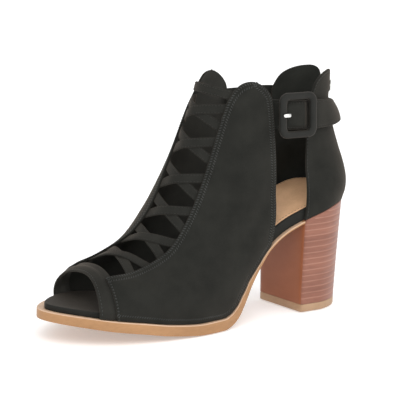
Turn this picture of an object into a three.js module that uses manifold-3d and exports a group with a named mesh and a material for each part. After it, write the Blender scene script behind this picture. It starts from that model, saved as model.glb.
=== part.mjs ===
// Block heel peep-toe ankle sandal, left shoe: crossed-strap front, open sides, buckled ankle strap, back zip.
// Millimetres. +X towards the toe, +Y towards the outer side of the foot, +Z up.
// Origin: centre of the heel's flat bottom face, on the floor.
import * as THREE from "three";
import { mergeVertices } from "three/addons/utils/BufferGeometryUtils.js";
import Module from "manifold-3d";

// ------------------------------------------------------------------ driving sizes
const GAP = 0.3; // clearance between pieces that touch
const WALL = 2.0; // upper wall
const INSOLE_T = 7.0, INSOLE_BALL = 5.2, INSOLE_TOE = 3.6; // covered footbed: padded at the heel, thinner towards the toe
const INSOLE_CUP = 1.8; // rise of its inner edge at the heel
const INSOLE_IN = WALL + GAP; // footbed edge inside the upper's outer face
const SHOULDER = 30; // depth of the rounding at the heel back
const TIP_X = 207.0; // toe tip of the last; the outsole reaches its ledge further
const TOE_FROM = 165; // where the rounded toe of the outline starts
const BREAST_TOP = 18.0; // heel breast at the seat
const BREAST_BOTTOM = 19.4; // heel breast at the floor
const TOP_PIECE_T = 5.0; // wear piece under the heel
const HEEL_BOTTOM_HALF = 21.8;
const HEEL_BOTTOM_BACK = -20.8;
const HEEL_BOTTOM_MID = 2.6; // the heel stands a little towards the outer side
const HEEL_BOTTOM_SKEW = -0.055; // and its breast turns a little
const BAND_FRONT = [183.2, 177.0]; // toe band, front edge at the sole, outer and inner side
const BAND_REAR = [168.0, 162.0]; // toe band, rear edge tucked under the side panels
const BAND_BOW = 1.5; // how far both seams of the toe bow forwards on the outer side
const BAND_CREST = [32.8, 44.5]; // both edges on the top line, s
const STRAP_W = 6.2; // crossed straps
const STRAP_T = 1.6;
const ANKLE_T = 1.8; // buckled strap
const BUCKLE_W = 32.0, BUCKLE_H = 30.0, BUCKLE_SIDE = 5.6, BUCKLE_RAIL = 4.7, BUCKLE_T = 3.8, BUCKLE_R = 6.5;
const BUCKLE_AT = [29.0, 30.6, 136.5]; // middle of its front face
const BUCKLE_TURN = 4.6, BUCKLE_TILT = 3.0, BUCKLE_LEAN = 6; // degrees: outwards at the toe end, up at the toe end, inwards at the top
const SWING = 7; // the instep leans to the inner side of the foot
const ZIP_PIVOT = [-18.0, 0, 149.8]; // hinge of the zip pull
const PULL_L = 6.5, PULL_W = 5.4, PULL_T = 1.2;

// ------------------------------------------------------------------ short tables of the last
// sole line: x, zb bottom height, th thickness, yOut and yIn half widths of the upper at the sole, ledge of the outsole
const SOLE = [
  [-30, 71.4, 1.5, 27.8, 26.8, 0.2],
  [-10, 69.8, 1.5, 27.8, 26.8, 0.2],
  [5, 65.7, 1.5, 27.4, 26.6, 0.2],
  [18, 61.5, 1.5, 26.5, 25.6, 0.2],
  [32, 55.8, 1.5, 25.9, 24.0, 0.2],
  [46, 47.0, 1.6, 27.0, 23.0, 0.2],
  [56, 36.1, 2.1, 28.7, 23.4, 0.3],
  [64, 24.9, 3.2, 30.2, 24.6, 0.4],
  [70, 14.4, 4.5, 31.5, 26.0, 0.6],
  [76, 6.2, 6.4, 33.0, 27.8, 0.8],
  [83, 1.6, 7.5, 34.7, 30.2, 1.0],
  [90, 0.0, 7.6, 36.2, 33.0, 1.4],
  [107, 0.0, 7.4, 38.1, 37.4, 1.9],
  [118, 0.8, 7.2, 38.6, 39.4, 2.0],
  [135, 2.9, 7.1, 38.4, 41.0, 2.0],
  [155, 6.3, 7.0, 36.0, 40.0, 2.0],
  [175, 9.4, 6.9, 31.5, 35.8, 2.0],
  [192, 12.3, 6.7, 26.0, 28.2, 2.2],
  [212, 15.3, 6.2, 19.0, 18.0, 2.6],
];
// top line of the front in the side view: x, z
const RIDGE = [
  [204.8, 23.5], [196.6, 30.2], [185.6, 37.9], [171, 46.4], [155.1, 51.5], [137.5, 60.7], [124.6, 77.7], [115.1, 94.8],
  [106.1, 113.3], [97.9, 133.6], [91, 153.2], [87.3, 167.6],
];
// heel back line in the side view: x, z
const BACK = [
  [-24.8, 61.6], [-25.2, 70.6], [-27.4, 77.6], [-28, 86.6], [-26, 97.6], [-22.4, 109.6], [-18.6, 122.6], [-15.6, 137.6],
  [-14.8, 151.6], [-14.6, 166.6],
];
// s along the top line, depth of the dome below it
const DOME = [[0, 14], [20, 20], [40, 25], [65, 32], [95, 40], [130, 46], [170, 46], [230, 44]];
// x, outer and inner half width at ankle height
const ANKLE_HALF = [[-30, 18, 17], [-5, 18.5, 17.5], [10, 19.5, 18.5], [25, 22.5, 21.5], [45, 26.5, 25], [60, 27.5, 26], [90, 29.5, 28.5], [130, 36, 37], [170, 34, 37], [206, 24, 30]];
// s along the top line, share of the swing there
const SWING_AT = [[0, 0], [35, 0], [60, 0.4], [85, 0.95], [105, 1], [130, 0.85], [155, 0.5], [175, 0.15], [190, 0]];
// side panels, front edge: s along the top line, angle round the dome on the outer and on the inner side
const PANEL_FRONT = [
  [38, 31.5, 31], [50, 37, 35], [60, 39.5, 34], [72, 40.5, 22], [84, 43, 12.5], [100, 44, 7], [112, 44, 8],
  [125, 43.3, 12], [140, 42.6, 16], [155, 41.8, 22], [170, 41.5, 31], [180, 42.5, 40], [187, 45.8, 45.8],
];
// side panel, lobe in the side view from its front to its rear: x, z
const PANEL_LOBE = [
  [74.6, 156.6], [70.8, 159.7], [64.8, 161], [58.2, 159], [52.8, 154.7], [49.4, 150],
];
const PANEL_REAR = [
  [47.8, 141.6], [45.6, 123.6], [43.6, 101.6], [43.4, 85.6], [44.2, 64.6], [45.8, 51.6],
];
const PANEL_CORNER = [46.2, 171.8, 165.6]; // x of the panel's foot: rear, front on the outer and on the inner side
// heel counter: front edge and top edge in the side view, x, z
const COUNTER_FRONT = [[18.4, 62.6], [17.6, 84.6], [16.6, 103.6], [14.6, 123.6], [12.6, 141.6], [11, 166.6]];
const COUNTER_TOP = [
  [-14.85, 141.5], [-14, 152], [-13, 158.4], [-11, 160.2], [-7, 160.3], [0, 158.6],
  [6.3, 154.8], [9.6, 149.6], [11.8, 143.6], [13.2, 135.6], [14.6, 123.6],
];
const LOBE_SHIFT = [-1.4, 4.4]; // how far forwards the lobe's front edge sits on the outer and on the inner side
// crossed straps: place of the upper and lower strap end of each pair along the panel edge
const CROSSES = [[177, 163], [155, 141], [131.7, 116.5], [109.5, 94.7], [87, 75], [68, 54]];
const TOP_STRAP = 184.5;
// buckled strap: x, y of its outer face, height of its middle, how far the lower edge flares out, height of the band; outer half, inner half
const ANKLE_OUT = [
  [52, 23.0, 138.0, 1.2, 19.4], [46, 23.5, 137.6, 1.6, 19.4], [40, 24.8, 137.0, 2, 19.4], [30, 25.6, 135.8, 2, 19.4], [20, 25.3, 135.0, 2, 19.3],
  [10, 24.1, 134.5, 2.2, 19.2], [0, 21.0, 133.8, 2.8, 18.6], [-8.8, 17.2, 133.0, 4.0, 17.0], [-16.2, 11.2, 132.3, 5.8, 15.2], [-20.6, 5.3, 131.9, 6.8, 14.2],
];
const ANKLE_MID = [-22.2, 0, 131.8, 7.2, 14.0];
const ANKLE_IN = [
  [-20.6, -5.3, 132.0, 6.8, 14.2], [-16.2, -10.8, 132.6, 5.6, 15.4], [-8.8, -16.6, 133.8, 4.0, 17.6], [0, -20.6, 135.0, 2.4, 18.8],
  [12, -23.3, 136.6, 1.4, 19.4], [26, -23.6, 137.4, 1, 19.6], [38, -23.6, 137.4, 1, 19.6], [46, -22.6, 137.8, 1, 19.6], [52, -22.2, 138.0, 1, 19.6],
];

// ------------------------------------------------------------------ small maths
function monotone(rows, col) {
  const n = rows.length, x = rows.map((r) => r[0]), y = rows.map((r) => r[col]);
  const h = [], d = [], m = new Array(n).fill(0);
  for (let i = 0; i < n - 1; i++) { h.push(x[i + 1] - x[i]); d.push((y[i + 1] - y[i]) / h[i]); }
  m[0] = d[0]; m[n - 1] = d[n - 2];
  for (let i = 1; i < n - 1; i++) {
    if (d[i - 1] * d[i] > 0) {
      const w1 = 2 * h[i] + h[i - 1], w2 = h[i] + 2 * h[i - 1];
      m[i] = (w1 + w2) / (w1 / d[i - 1] + w2 / d[i]);
    }
  }
  return (q) => {
    const v = Math.min(Math.max(q, x[0]), x[n - 1]);
    let i = 0;
    while (i < n - 2 && v >= x[i + 1]) i++;
    const t = (v - x[i]) / h[i], t2 = t * t, t3 = t2 * t;
    return (2 * t3 - 3 * t2 + 1) * y[i] + (t3 - 2 * t2 + t) * h[i] * m[i] + (3 * t2 - 2 * t3) * y[i + 1] + (t3 - t2) * h[i] * m[i + 1];
  };
}
function smoothLine(P, steps = 12) {
  const n = P.length, t = [0];
  for (let i = 1; i < n; i++) t.push(t[i - 1] + Math.sqrt(Math.hypot(P[i][0] - P[i - 1][0], P[i][1] - P[i - 1][1])));
  const m = P.map((p, i) => {
    const f = (a, b) => [(P[b][0] - P[a][0]) / (t[b] - t[a]), (P[b][1] - P[a][1]) / (t[b] - t[a])];
    if (i === 0) return f(0, 1);
    if (i === n - 1) return f(n - 2, n - 1);
    const a = f(i - 1, i), b = f(i, i + 1), h0 = t[i] - t[i - 1], h1 = t[i + 1] - t[i];
    return [(a[0] * h1 + b[0] * h0) / (h0 + h1), (a[1] * h1 + b[1] * h0) / (h0 + h1)];
  });
  const out = [];
  for (let i = 0; i < n - 1; i++) {
    const h = t[i + 1] - t[i];
    for (let k = 0; k < steps; k++) {
      const s = k / steps, s2 = s * s, s3 = s2 * s;
      out.push([0, 1].map((c) => (2 * s3 - 3 * s2 + 1) * P[i][c] + (s3 - 2 * s2 + s) * h * m[i][c] + (3 * s2 - 2 * s3) * P[i + 1][c] + (s3 - s2) * h * m[i + 1][c]));
    }
  }
  out.push(P[n - 1].slice());
  const len = [0];
  for (let i = 1; i < out.length; i++) len.push(len[i - 1] + Math.hypot(out[i][0] - out[i - 1][0], out[i][1] - out[i - 1][1]));
  return { p: out, len, total: len[len.length - 1] };
}
function along(L, s) {
  const v = Math.min(Math.max(s, 0), L.total);
  let i = 0;
  while (i < L.p.length - 2 && v > L.len[i + 1]) i++;
  const t = (v - L.len[i]) / (L.len[i + 1] - L.len[i] || 1);
  return [L.p[i][0] + t * (L.p[i + 1][0] - L.p[i][0]), L.p[i][1] + t * (L.p[i + 1][1] - L.p[i][1])];
}
function nearest(L, x, z) {
  let best = [1e9, 0, 1];
  for (let i = 0; i < L.p.length - 1; i++) {
    const a = L.p[i], b = L.p[i + 1], ux = b[0] - a[0], uz = b[1] - a[1];
    const t = Math.min(Math.max(((x - a[0]) * ux + (z - a[1]) * uz) / (ux * ux + uz * uz), 0), 1);
    const d = Math.hypot(x - a[0] - t * ux, z - a[1] - t * uz);
    if (d < best[0]) best = [d, L.len[i] + t * (L.len[i + 1] - L.len[i]), Math.sign(ux * (z - a[1]) - uz * (x - a[0])) || 1];
  }
  return { d: best[0] * best[2], s: best[1] };
}
const clamp01 = (t) => Math.min(Math.max(t, 0), 1);
const ease = (t) => { const c = clamp01(t); return c * c * (3 - 2 * c); };
const mix = (a, b, t) => a + (b - a) * t;

// ------------------------------------------------------------------ the last
const solBottom = monotone(SOLE, 1), solThick = monotone(SOLE, 2), halfOut = monotone(SOLE, 3), halfIn = monotone(SOLE, 4), ledgeAt = monotone(SOLE, 5);
const domeDepth = monotone(DOME, 1), ankleOut = monotone(ANKLE_HALF, 1), ankleIn = monotone(ANKLE_HALF, 2);
const edgeOut = monotone(PANEL_FRONT, 1), edgeIn = monotone(PANEL_FRONT, 2), swingAt = monotone(SWING_AT, 1);
const RAD = Math.PI / 180;
const ridge = smoothLine(RIDGE), back = smoothLine(BACK);
const slopeAt = (x) => solBottom(x + 0.5) - solBottom(x - 0.5);
const solTop = (x) => solBottom(x) + solThick(x) * Math.sqrt(1 + slopeAt(x) ** 2); // top of the outsole
const raise = (x, h) => solTop(x) + h * Math.sqrt(1 + slopeAt(x) ** 2); // h above it, square to the slope
const dome = (d, depth) => Math.sqrt(Math.max(0, 1 - Math.max(0, 1 - d / depth) ** 2));
// half width of the upper's outer face at a point of the side view; side is +1 outer, -1 inner
function half(side, x, z) {
  const h = z - solTop(x);
  const low = side > 0 ? halfOut(x) : halfIn(x), high = side > 0 ? ankleOut(x) : ankleIn(x);
  const k = ease(h / 80), bulge = 1.6 * Math.sin(Math.PI * clamp01(h / 34));
  const f = nearest(ridge, x, z), b = nearest(back, x, z);
  const depthBack = mix(SHOULDER, 38, ease((z - 95) / 50));
  return (low * (1 - k) + high * k + bulge) * dome(Math.max(f.d, 0), domeDepth(f.s)) * dome(Math.max(-b.d, 0), depthBack);
}
const LEAN = [-0.57, -0.792, -0.218]; // direction in which the instep leans
// point on the upper's outer face above a point of the side view
function skin(side, x, z) {
  const f = nearest(ridge, x, z);
  const t = SWING * swingAt(f.s) * ease((z - solTop(x)) / 45) * (1 - ease((f.d - 20) / 40));
  return new THREE.Vector3(x + t * LEAN[0], side * half(side, x, z) + t * LEAN[1], z + t * LEAN[2]);
}
// point of the side view at s along the top line, d below it
function below(s, d) {
  const p = along(ridge, s), a = along(ridge, s - 1.5), b = along(ridge, s + 1.5);
  const ux = b[0] - a[0], uz = b[1] - a[1], l = Math.hypot(ux, uz);
  return [p[0] - (uz / l) * d, p[1] + (ux / l) * d];
}
const depthOf = (s, angle) => domeDepth(s) * (1 - Math.cos(Math.abs(angle) * RAD));
// point on the front of the upper at s and an angle round the dome, outer side positive
function onFront(s, angle) {
  const q = below(s, depthOf(s, angle));
  return skin(angle >= 0 ? 1 : -1, q[0], q[1]);
}
// the outline of the sole's layers: half widths with the rounded toe and heel, grown by g on all sides
function outline(x, g, tip = TIP_X + g) {
  const t = clamp01((x - TOE_FROM) / (tip - TOE_FROM)), toe = Math.sqrt(Math.max(0, 1 - Math.pow(t, 2.3)));
  const mid = -1.5 * Math.pow(clamp01((x - 150) / (TIP_X - 150)), 1.4); // the toe swings inwards
  const b = nearest(back, x, solTop(x)), heelRound = dome(Math.max(-b.d, 0), SHOULDER);
  return [mid + (halfOut(x) * heelRound - mid + g) * toe, mid - (halfIn(x) * heelRound + mid + g) * toe];
}

// ------------------------------------------------------------------ solids
const wasm = await Module();
wasm.setup();
// closed mesh from vertices and triangles, turned to face out
function geometryOf(verts, tris) {
  const flat = new Float32Array(verts.length * 3);
  verts.forEach((v, i) => flat.set([v.x, v.y, v.z], i * 3));
  let vol = 0;
  for (const [a, b, c] of tris) vol += verts[a].dot(new THREE.Vector3().crossVectors(verts[b], verts[c]));
  const idx = vol < 0 ? tris.map(([a, b, c]) => [a, c, b]) : tris;
  const g = new THREE.BufferGeometry();
  g.setAttribute("position", new THREE.BufferAttribute(flat, 3));
  g.setIndex(idx.flat());
  return g;
}
function solidOf(g) {
  const c = g.index ? g.clone() : g.clone();
  c.deleteAttribute("normal"); c.deleteAttribute("uv");
  const m = mergeVertices(c, 1e-4);
  return new wasm.Manifold(new wasm.Mesh({ numProp: 3, vertProperties: new Float32Array(m.attributes.position.array), triVerts: new Uint32Array(m.index.array) }));
}
function geometryFrom(solid) {
  const m = solid.getMesh(), n = m.numProp, g = new THREE.BufferGeometry();
  const flat = new Float32Array((m.vertProperties.length / n) * 3);
  for (let i = 0; i < flat.length / 3; i++) flat.set([m.vertProperties[i * n], m.vertProperties[i * n + 1], m.vertProperties[i * n + 2]], i * 3);
  g.setAttribute("position", new THREE.BufferAttribute(flat, 3));
  g.setIndex(Array.from(m.triVerts));
  return g;
}
// normals of a grid of points, pointing away from the shoe's middle line
function gridNormals(G) {
  return G.map((row, i) => row.map((p, j) => {
    const a = G[Math.max(i - 1, 0)][j], b = G[Math.min(i + 1, G.length - 1)][j];
    const c = row[Math.max(j - 1, 0)], d = row[Math.min(j + 1, row.length - 1)];
    return new THREE.Vector3().subVectors(b, a).cross(new THREE.Vector3().subVectors(d, c)).normalize();
  }));
}
// wall between two offsets of a grid, distances measured inwards from it; each may vary over the grid
function wallOf(G, near, far, flip) {
  const N = gridNormals(G), r = G.length, c = G[0].length, V = [], T = [];
  const sgn = flip ? -1 : 1;
  for (const off of [near, far]) for (let i = 0; i < r; i++) for (let j = 0; j < c; j++) {
    const d = typeof off === "function" ? off(i, j) : off;
    V.push(G[i][j].clone().addScaledVector(N[i][j], -d * sgn));
  }
  const id = (k, i, j) => k * r * c + i * c + j;
  const quad = (a, b, d, e) => { T.push([a, b, d], [a, d, e]); };
  for (let i = 0; i < r - 1; i++) for (let j = 0; j < c - 1; j++) {
    quad(id(0, i, j), id(0, i + 1, j), id(0, i + 1, j + 1), id(0, i, j + 1));
    quad(id(1, i, j), id(1, i, j + 1), id(1, i + 1, j + 1), id(1, i + 1, j));
  }
  for (let i = 0; i < r - 1; i++) {
    quad(id(0, i, 0), id(1, i, 0), id(1, i + 1, 0), id(0, i + 1, 0));
    quad(id(0, i, c - 1), id(0, i + 1, c - 1), id(1, i + 1, c - 1), id(1, i, c - 1));
  }
  for (let j = 0; j < c - 1; j++) {
    quad(id(0, 0, j), id(0, 0, j + 1), id(1, 0, j + 1), id(1, 0, j));
    quad(id(0, r - 1, j), id(1, r - 1, j), id(1, r - 1, j + 1), id(0, r - 1, j + 1));
  }
  return geometryOf(V, T);
}
// layer of the sole between two height functions, as cross strips over the stations in xs
function layer(xs, yOut, yIn, zTop, zLow) {
  const V = [], T = [];
  for (const x of xs) {
    const o = yOut(x), i = yIn(x);
    V.push(new THREE.Vector3(x, o, zTop(x, o)), new THREE.Vector3(x, i, zTop(x, i)), new THREE.Vector3(x, i, zLow(x, i)), new THREE.Vector3(x, o, zLow(x, o)));
  }
  for (let k = 0; k < xs.length - 1; k++) for (let e = 0; e < 4; e++) {
    const a = k * 4 + e, b = k * 4 + ((e + 1) % 4);
    T.push([a, b, b + 4], [a, b + 4, a + 4]);
  }
  const n = (xs.length - 1) * 4;
  T.push([0, 2, 1], [0, 3, 2], [n, n + 1, n + 2], [n, n + 2, n + 3]);
  return geometryOf(V, T);
}
// ribbon along points P with surface normals N: width w, from a to b inwards of the points
function ribbon(P, N, w, a, b) {
  const V = [], T = [];
  P.forEach((p, k) => {
    const t = new THREE.Vector3().subVectors(P[Math.min(k + 1, P.length - 1)], P[Math.max(k - 1, 0)]).normalize();
    const s = new THREE.Vector3().crossVectors(t, N[k]).normalize(), n = new THREE.Vector3().crossVectors(s, t).normalize();
    for (const [u, d] of [[-0.5, a], [0.5, a], [0.5, b], [-0.5, b]]) V.push(p.clone().addScaledVector(s, u * w).addScaledVector(n, -d));
  });
  for (let k = 0; k < P.length - 1; k++) for (let e = 0; e < 4; e++) {
    const i = k * 4 + e, j = k * 4 + ((e + 1) % 4);
    T.push([i, j, j + 4], [i, j + 4, i + 4]);
  }
  const n = (P.length - 1) * 4;
  T.push([0, 2, 1], [0, 3, 2], [n, n + 1, n + 2], [n, n + 2, n + 3]);
  return geometryOf(V, T);
}
// stations along a sole layer, closer together towards the rounded ends
function stations(x0, x1, n) {
  return Array.from({ length: n + 1 }, (_, k) => mix(x0, x1, 0.5 - 0.5 * Math.cos((Math.PI * k) / n)));
}

// outsole: one thin layer from the heel breast to the toe, with the flat tread spot under the ball
const breastAt = (z) => mix(BREAST_BOTTOM, BREAST_TOP, clamp01(z / 61));
const TREAD = 2.2; // ledge at the toe
const outsoleX = stations(-15, TIP_X + TREAD - 0.01, 66).filter((x) => x > BREAST_TOP + 1.5);
outsoleX.unshift(BREAST_TOP + GAP + 0.1);
for (const x of [90, 107]) if (!outsoleX.includes(x)) outsoleX.push(x);
outsoleX.sort((a, b) => a - b);
const soleY = (x) => outline(x, ledgeAt(x), TIP_X + TREAD);
const outsole = layer(outsoleX, (x) => soleY(x)[0], (x) => soleY(x)[1], solTop, solBottom);

// footbed: board with its black wrap, inside the upper all round
const TOE_IN = 2.3, BED_BACK = -21.6, BED_TOE_CLIP = 1.4; // the footbed is cut narrower at the inner side of the toe
const bedTip = TIP_X - TOE_IN;
const bedX = stations(BED_BACK, bedTip - 0.01, 60);
function bedY(x, side) {
  const xb = x < 8 ? mix(-24.0, 8, (x - BED_BACK) / (8 - BED_BACK)) : x;
  const [o, i] = outline(xb, -INSOLE_IN, bedTip), mid = (o + i) / 2, least = x < 8 ? 1.2 : 0.1;
  return side > 0 ? Math.max(o, mid + least) : Math.min(i + BED_TOE_CLIP * ease((x - 160) / 30) * (i < -6 ? 1 : -i / 6), mid - least);
}
const bedTop = (x) => mix(mix(INSOLE_T, INSOLE_BALL, ease((x - 45) / 50)), INSOLE_TOE, ease((x - 145) / 40)) + GAP;
const bedCup = (x, y) => (y < 0 ? INSOLE_CUP * (1 - ease((x - 25) / 45)) : 0);
const insole = layer(bedX, (x) => bedY(x, 1), (x) => bedY(x, -1), (x, y) => raise(x, bedTop(x)) + bedCup(x, y), (x) => raise(x, GAP));

// ------------------------------------------------------------------ heel
// ring of the seat, taken from the outline just inside its face, and of the floor
const RING = 15;
function seatPair(k) { // k 0 at the breast to RING at the back
  const t = k / RING, x = mix(BREAST_TOP, -24.0, Math.sin((t * Math.PI) / 2));
  const [o, i] = outline(x, -0.3);
  return [x, Math.max(o, 1.2), Math.min(i, -1.2)];
}
function floorPair(k) {
  const t = k / RING, x = mix(BREAST_BOTTOM, HEEL_BOTTOM_BACK, Math.sin((t * Math.PI) / 2));
  const u = clamp01((4 - x) / (4 - HEEL_BOTTOM_BACK)), y = HEEL_BOTTOM_HALF * Math.sqrt(Math.max(0.003, 1 - Math.pow(u, 1.5)));
  return [x, HEEL_BOTTOM_MID + y, HEEL_BOTTOM_MID - y];
}
// heel between heights given as shares of the way from floor to seat; the top follows the seat
function heelBlock(zLow, zHigh, levels) {
  const V = [], T = [], cols = RING + 1;
  for (let l = 0; l <= levels; l++) for (let k = 0; k < cols; k++) {
    const a = floorPair(k), b = seatPair(k), top = solTop(b[0]);
    const z0 = zLow, z1 = zHigh < 0 ? top : zHigh, z = mix(z0, z1, l / levels), q = Math.pow(clamp01(z / top), 1.25);
    for (const e of [1, 2]) V.push(new THREE.Vector3(mix(a[0] + HEEL_BOTTOM_SKEW * (a[e] - HEEL_BOTTOM_MID), b[0], q), mix(a[e], b[e], q), z));
  }
  const id = (l, k, s) => (l * cols + k) * 2 + s;
  const quad = (a, b, c, d) => T.push([a, b, c], [a, c, d]);
  for (let l = 0; l < levels; l++) {
    for (let k = 0; k < cols - 1; k++) {
      quad(id(l, k, 0), id(l, k + 1, 0), id(l + 1, k + 1, 0), id(l + 1, k, 0));
      quad(id(l, k, 1), id(l + 1, k, 1), id(l + 1, k + 1, 1), id(l, k + 1, 1));
    }
    quad(id(l, 0, 0), id(l + 1, 0, 0), id(l + 1, 0, 1), id(l, 0, 1)); // breast
    quad(id(l, cols - 1, 0), id(l, cols - 1, 1), id(l + 1, cols - 1, 1), id(l + 1, cols - 1, 0)); // back
  }
  for (const [l, f] of [[0, 1], [levels, 0]]) for (let k = 0; k < cols - 1; k++) {
    const q = [id(l, k, 0), id(l, k, 1), id(l, k + 1, 1), id(l, k + 1, 0)];
    if (f) quad(...q); else quad(...q.reverse());
  }
  return geometryOf(V, T);
}
const heel = heelBlock(TOP_PIECE_T + GAP, -1, 8);
const topPiece = heelBlock(0, TOP_PIECE_T, 1);

// ------------------------------------------------------------------ upper: toe band, two side panels, crossed straps
const footZ = (x) => raise(x, GAP + 0.06);
// side panel on the last: rows run up the front edge, columns go back to the sole and then the rear edge
function panelGrid(side, rows, cols) {
  const lobe = smoothLine([below(187, depthOf(187, 45.8)), ...PANEL_LOBE], 10), rear = smoothLine([PANEL_LOBE[5], ...PANEL_REAR], 10);
  const edge = side > 0 ? edgeOut : edgeIn, corner = PANEL_CORNER[0], front = PANEL_CORNER[side > 0 ? 1 : 2];
  const F = [], R = [], cr = Math.round(rows * 0.46), lb = Math.round(rows * 0.84);
  for (let i = 0; i <= rows; i++) {
    const v = (0.5 * (i - lb)) / (rows - lb + 0.4);
    if (i <= lb) {
      const s = mix(38, 187, i / lb);
      F.push(below(s, depthOf(s, edge(s))));
    } else F.push(along(lobe, lobe.total * v));
    if (i <= cr) { const x = mix(front, corner, i / cr); R.push([x, footZ(x)]); }
    else if (i <= lb) {
      const p = along(rear, rear.total * (1 - (i - cr) / (lb - cr)));
      R.push([p[0], Math.max(p[1], footZ(p[0]))]);
    } else R.push(along(lobe, lobe.total * (1 - v)));
  }
  const crowd = side > 0 ? 1.15 : 1.7; // points crowd towards the top line, where the dome turns fast
  return F.map((f, i) => Array.from({ length: cols + 1 }, (_, j) => {
    const t = Math.pow(j / cols, i > lb ? mix(crowd, 1, (i - lb) / (rows - lb)) : crowd), bow = side > 0 && i < 6 ? BAND_BOW * Math.sin(Math.PI * t) * (1 - i / 6) : 0, x = mix(f[0], R[i][0], t) + bow, z = mix(f[1], R[i][1], t);
    return skin(side, x, Math.max(z, footZ(x)));
  }));
}
// toe band: rows go over the foot from the outer to the inner sole edge, columns front to rear
function bandGrid(rows, cols) {
  const G = [];
  for (let i = 0; i <= rows; i++) {
    const a = mix(1, -1, i / rows), side = a >= 0 ? 1 : -1, g = 1 - Math.cos((Math.abs(a) * Math.PI) / 2), k = side > 0 ? 0 : 1;
    G.push(Array.from({ length: cols + 1 }, (_, j) => {
      const t = j / cols, c = along(ridge, mix(BAND_CREST[0], BAND_CREST[1], t)), fx = mix(BAND_FRONT[k], BAND_REAR[k], t), bow = side > 0 ? BAND_BOW * Math.sin(Math.PI * g) : 0;
      const p = skin(side, mix(c[0], fx, g) + bow, mix(c[1], footZ(fx), g));
      if (Math.abs(a) < 1e-9) p.y = 0;
      return p;
    }));
  }
  return G;
}
// strap across the front from s0 on the outer panel edge to s1 on the inner one, its ends tucked under both
function crossPath(s0, s1, tuck, steps) {
  const at = (t, ds) => onFront(mix(s0, s1, t) + ds, mix(edgeOut(s0) + tuck, -edgeIn(s1) - tuck, t));
  const P = Array.from({ length: steps + 1 }, (_, k) => at(k / steps, 0));
  const N = P.map((p, k) => {
    const up = new THREE.Vector3().subVectors(at(k / steps, 1.2), at(k / steps, -1.2));
    const dir = new THREE.Vector3().subVectors(P[Math.min(k + 1, steps)], P[Math.max(k - 1, 0)]);
    return up.cross(dir).normalize();
  });
  return { P, N };
}
let upperSolid = null;
const join = (g) => { const s = solidOf(g); upperSolid = upperSolid ? upperSolid.add(s) : s; };
join(wallOf(bandGrid(26, 3), 0.3, WALL, true));
for (const side of [1, -1]) join(wallOf(panelGrid(side, 30, 9), 0, WALL, side > 0));
const crossStrap = (s0, s1, lift) => { const { P, N } = crossPath(s0, s1, 7, 12); join(ribbon(P, N, STRAP_W, lift, lift + STRAP_T)); };
for (const [hi, lo] of CROSSES) { crossStrap(hi, lo, 0.5); crossStrap(lo, hi, 0.7); }
crossStrap(TOP_STRAP, TOP_STRAP, 0.5);
const upper = geometryFrom(upperSolid);

// ------------------------------------------------------------------ heel counter, wrapped round the back, notched above the zip
// x of a rising line at height z
function xAt(L, z) {
  let i = 0;
  while (i < L.p.length - 2 && z > L.p[i + 1][1]) i++;
  const a = L.p[i], b = L.p[i + 1];
  return a[0] + ((z - a[1]) / (b[1] - a[1])) * (b[0] - a[0]);
}
const counterTop = smoothLine(COUNTER_TOP, 10), counterFront = smoothLine(COUNTER_FRONT, 10);
function counterGrid(rows, cols) {
  const G = [], width = (z) => xAt(counterFront, z) - xAt(back, z);
  for (let i = 0; i <= rows; i++) {
    const a = mix(1, -1, i / rows), side = a >= 0 ? 1 : -1, m = Math.abs(a), g = 1 - Math.cos((m * Math.PI) / 2);
    const x0 = mix(-25.0, COUNTER_FRONT[0][0], g), z0 = footZ(x0), high = along(counterTop, counterTop.total * mix(g, m, 0.65));
    const qHigh = (high[0] - xAt(back, high[1])) / width(high[1]);
    G.push(Array.from({ length: cols + 1 }, (_, j) => {
      const v = j / cols, z = mix(z0, high[1], v), q = mix(g, qHigh, v);
      const lobe = LOBE_SHIFT[side > 0 ? 0 : 1] * clamp01(q) * ease((z - 128) / 18);
      const p = skin(side, xAt(back, z) + q * width(z) + lobe, z);
      if (m < 1e-9) p.y = 0;
      return p;
    }));
  }
  return G;
}
const counter = wallOf(counterGrid(28, 10), 0, WALL, false);

// ------------------------------------------------------------------ buckled strap, a band that flares a little at the heel
const ankleRows = [...ANKLE_OUT, ANKLE_MID, ...ANKLE_IN];
function ankleGrid(cols) {
  const C = new THREE.CatmullRomCurve3(ankleRows.map((r) => new THREE.Vector3(r[0], r[1], r[2])), false, "catmullrom", 0.5);
  const F = new THREE.CatmullRomCurve3(ankleRows.map((r) => new THREE.Vector3(r[3], 0, r[4])), false, "catmullrom", 0.5);
  const n = 44, G = [];
  for (let i = 0; i <= n; i++) {
    const t = i / n, p = C.getPoint(t), size = F.getPoint(t), flare = size.x, q = C.getTangent(t);
    const out = new THREE.Vector3(q.y, -q.x, 0).normalize();
    G.push(Array.from({ length: cols + 1 }, (_, j) => {
      const v = j / cols - 0.5; // -0.5 upper edge, 0.5 lower edge
      const swell = 1.7 * (flare / 9) * (1 - (2 * v) ** 2);
      return p.clone().addScaledVector(out, v * flare + swell).add(new THREE.Vector3(0, 0, -v * size.z));
    }));
  }
  return G;
}
const strapGrid = ankleGrid(4);
let strapSolid = solidOf(wallOf(strapGrid, 0, ANKLE_T, true));
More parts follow.
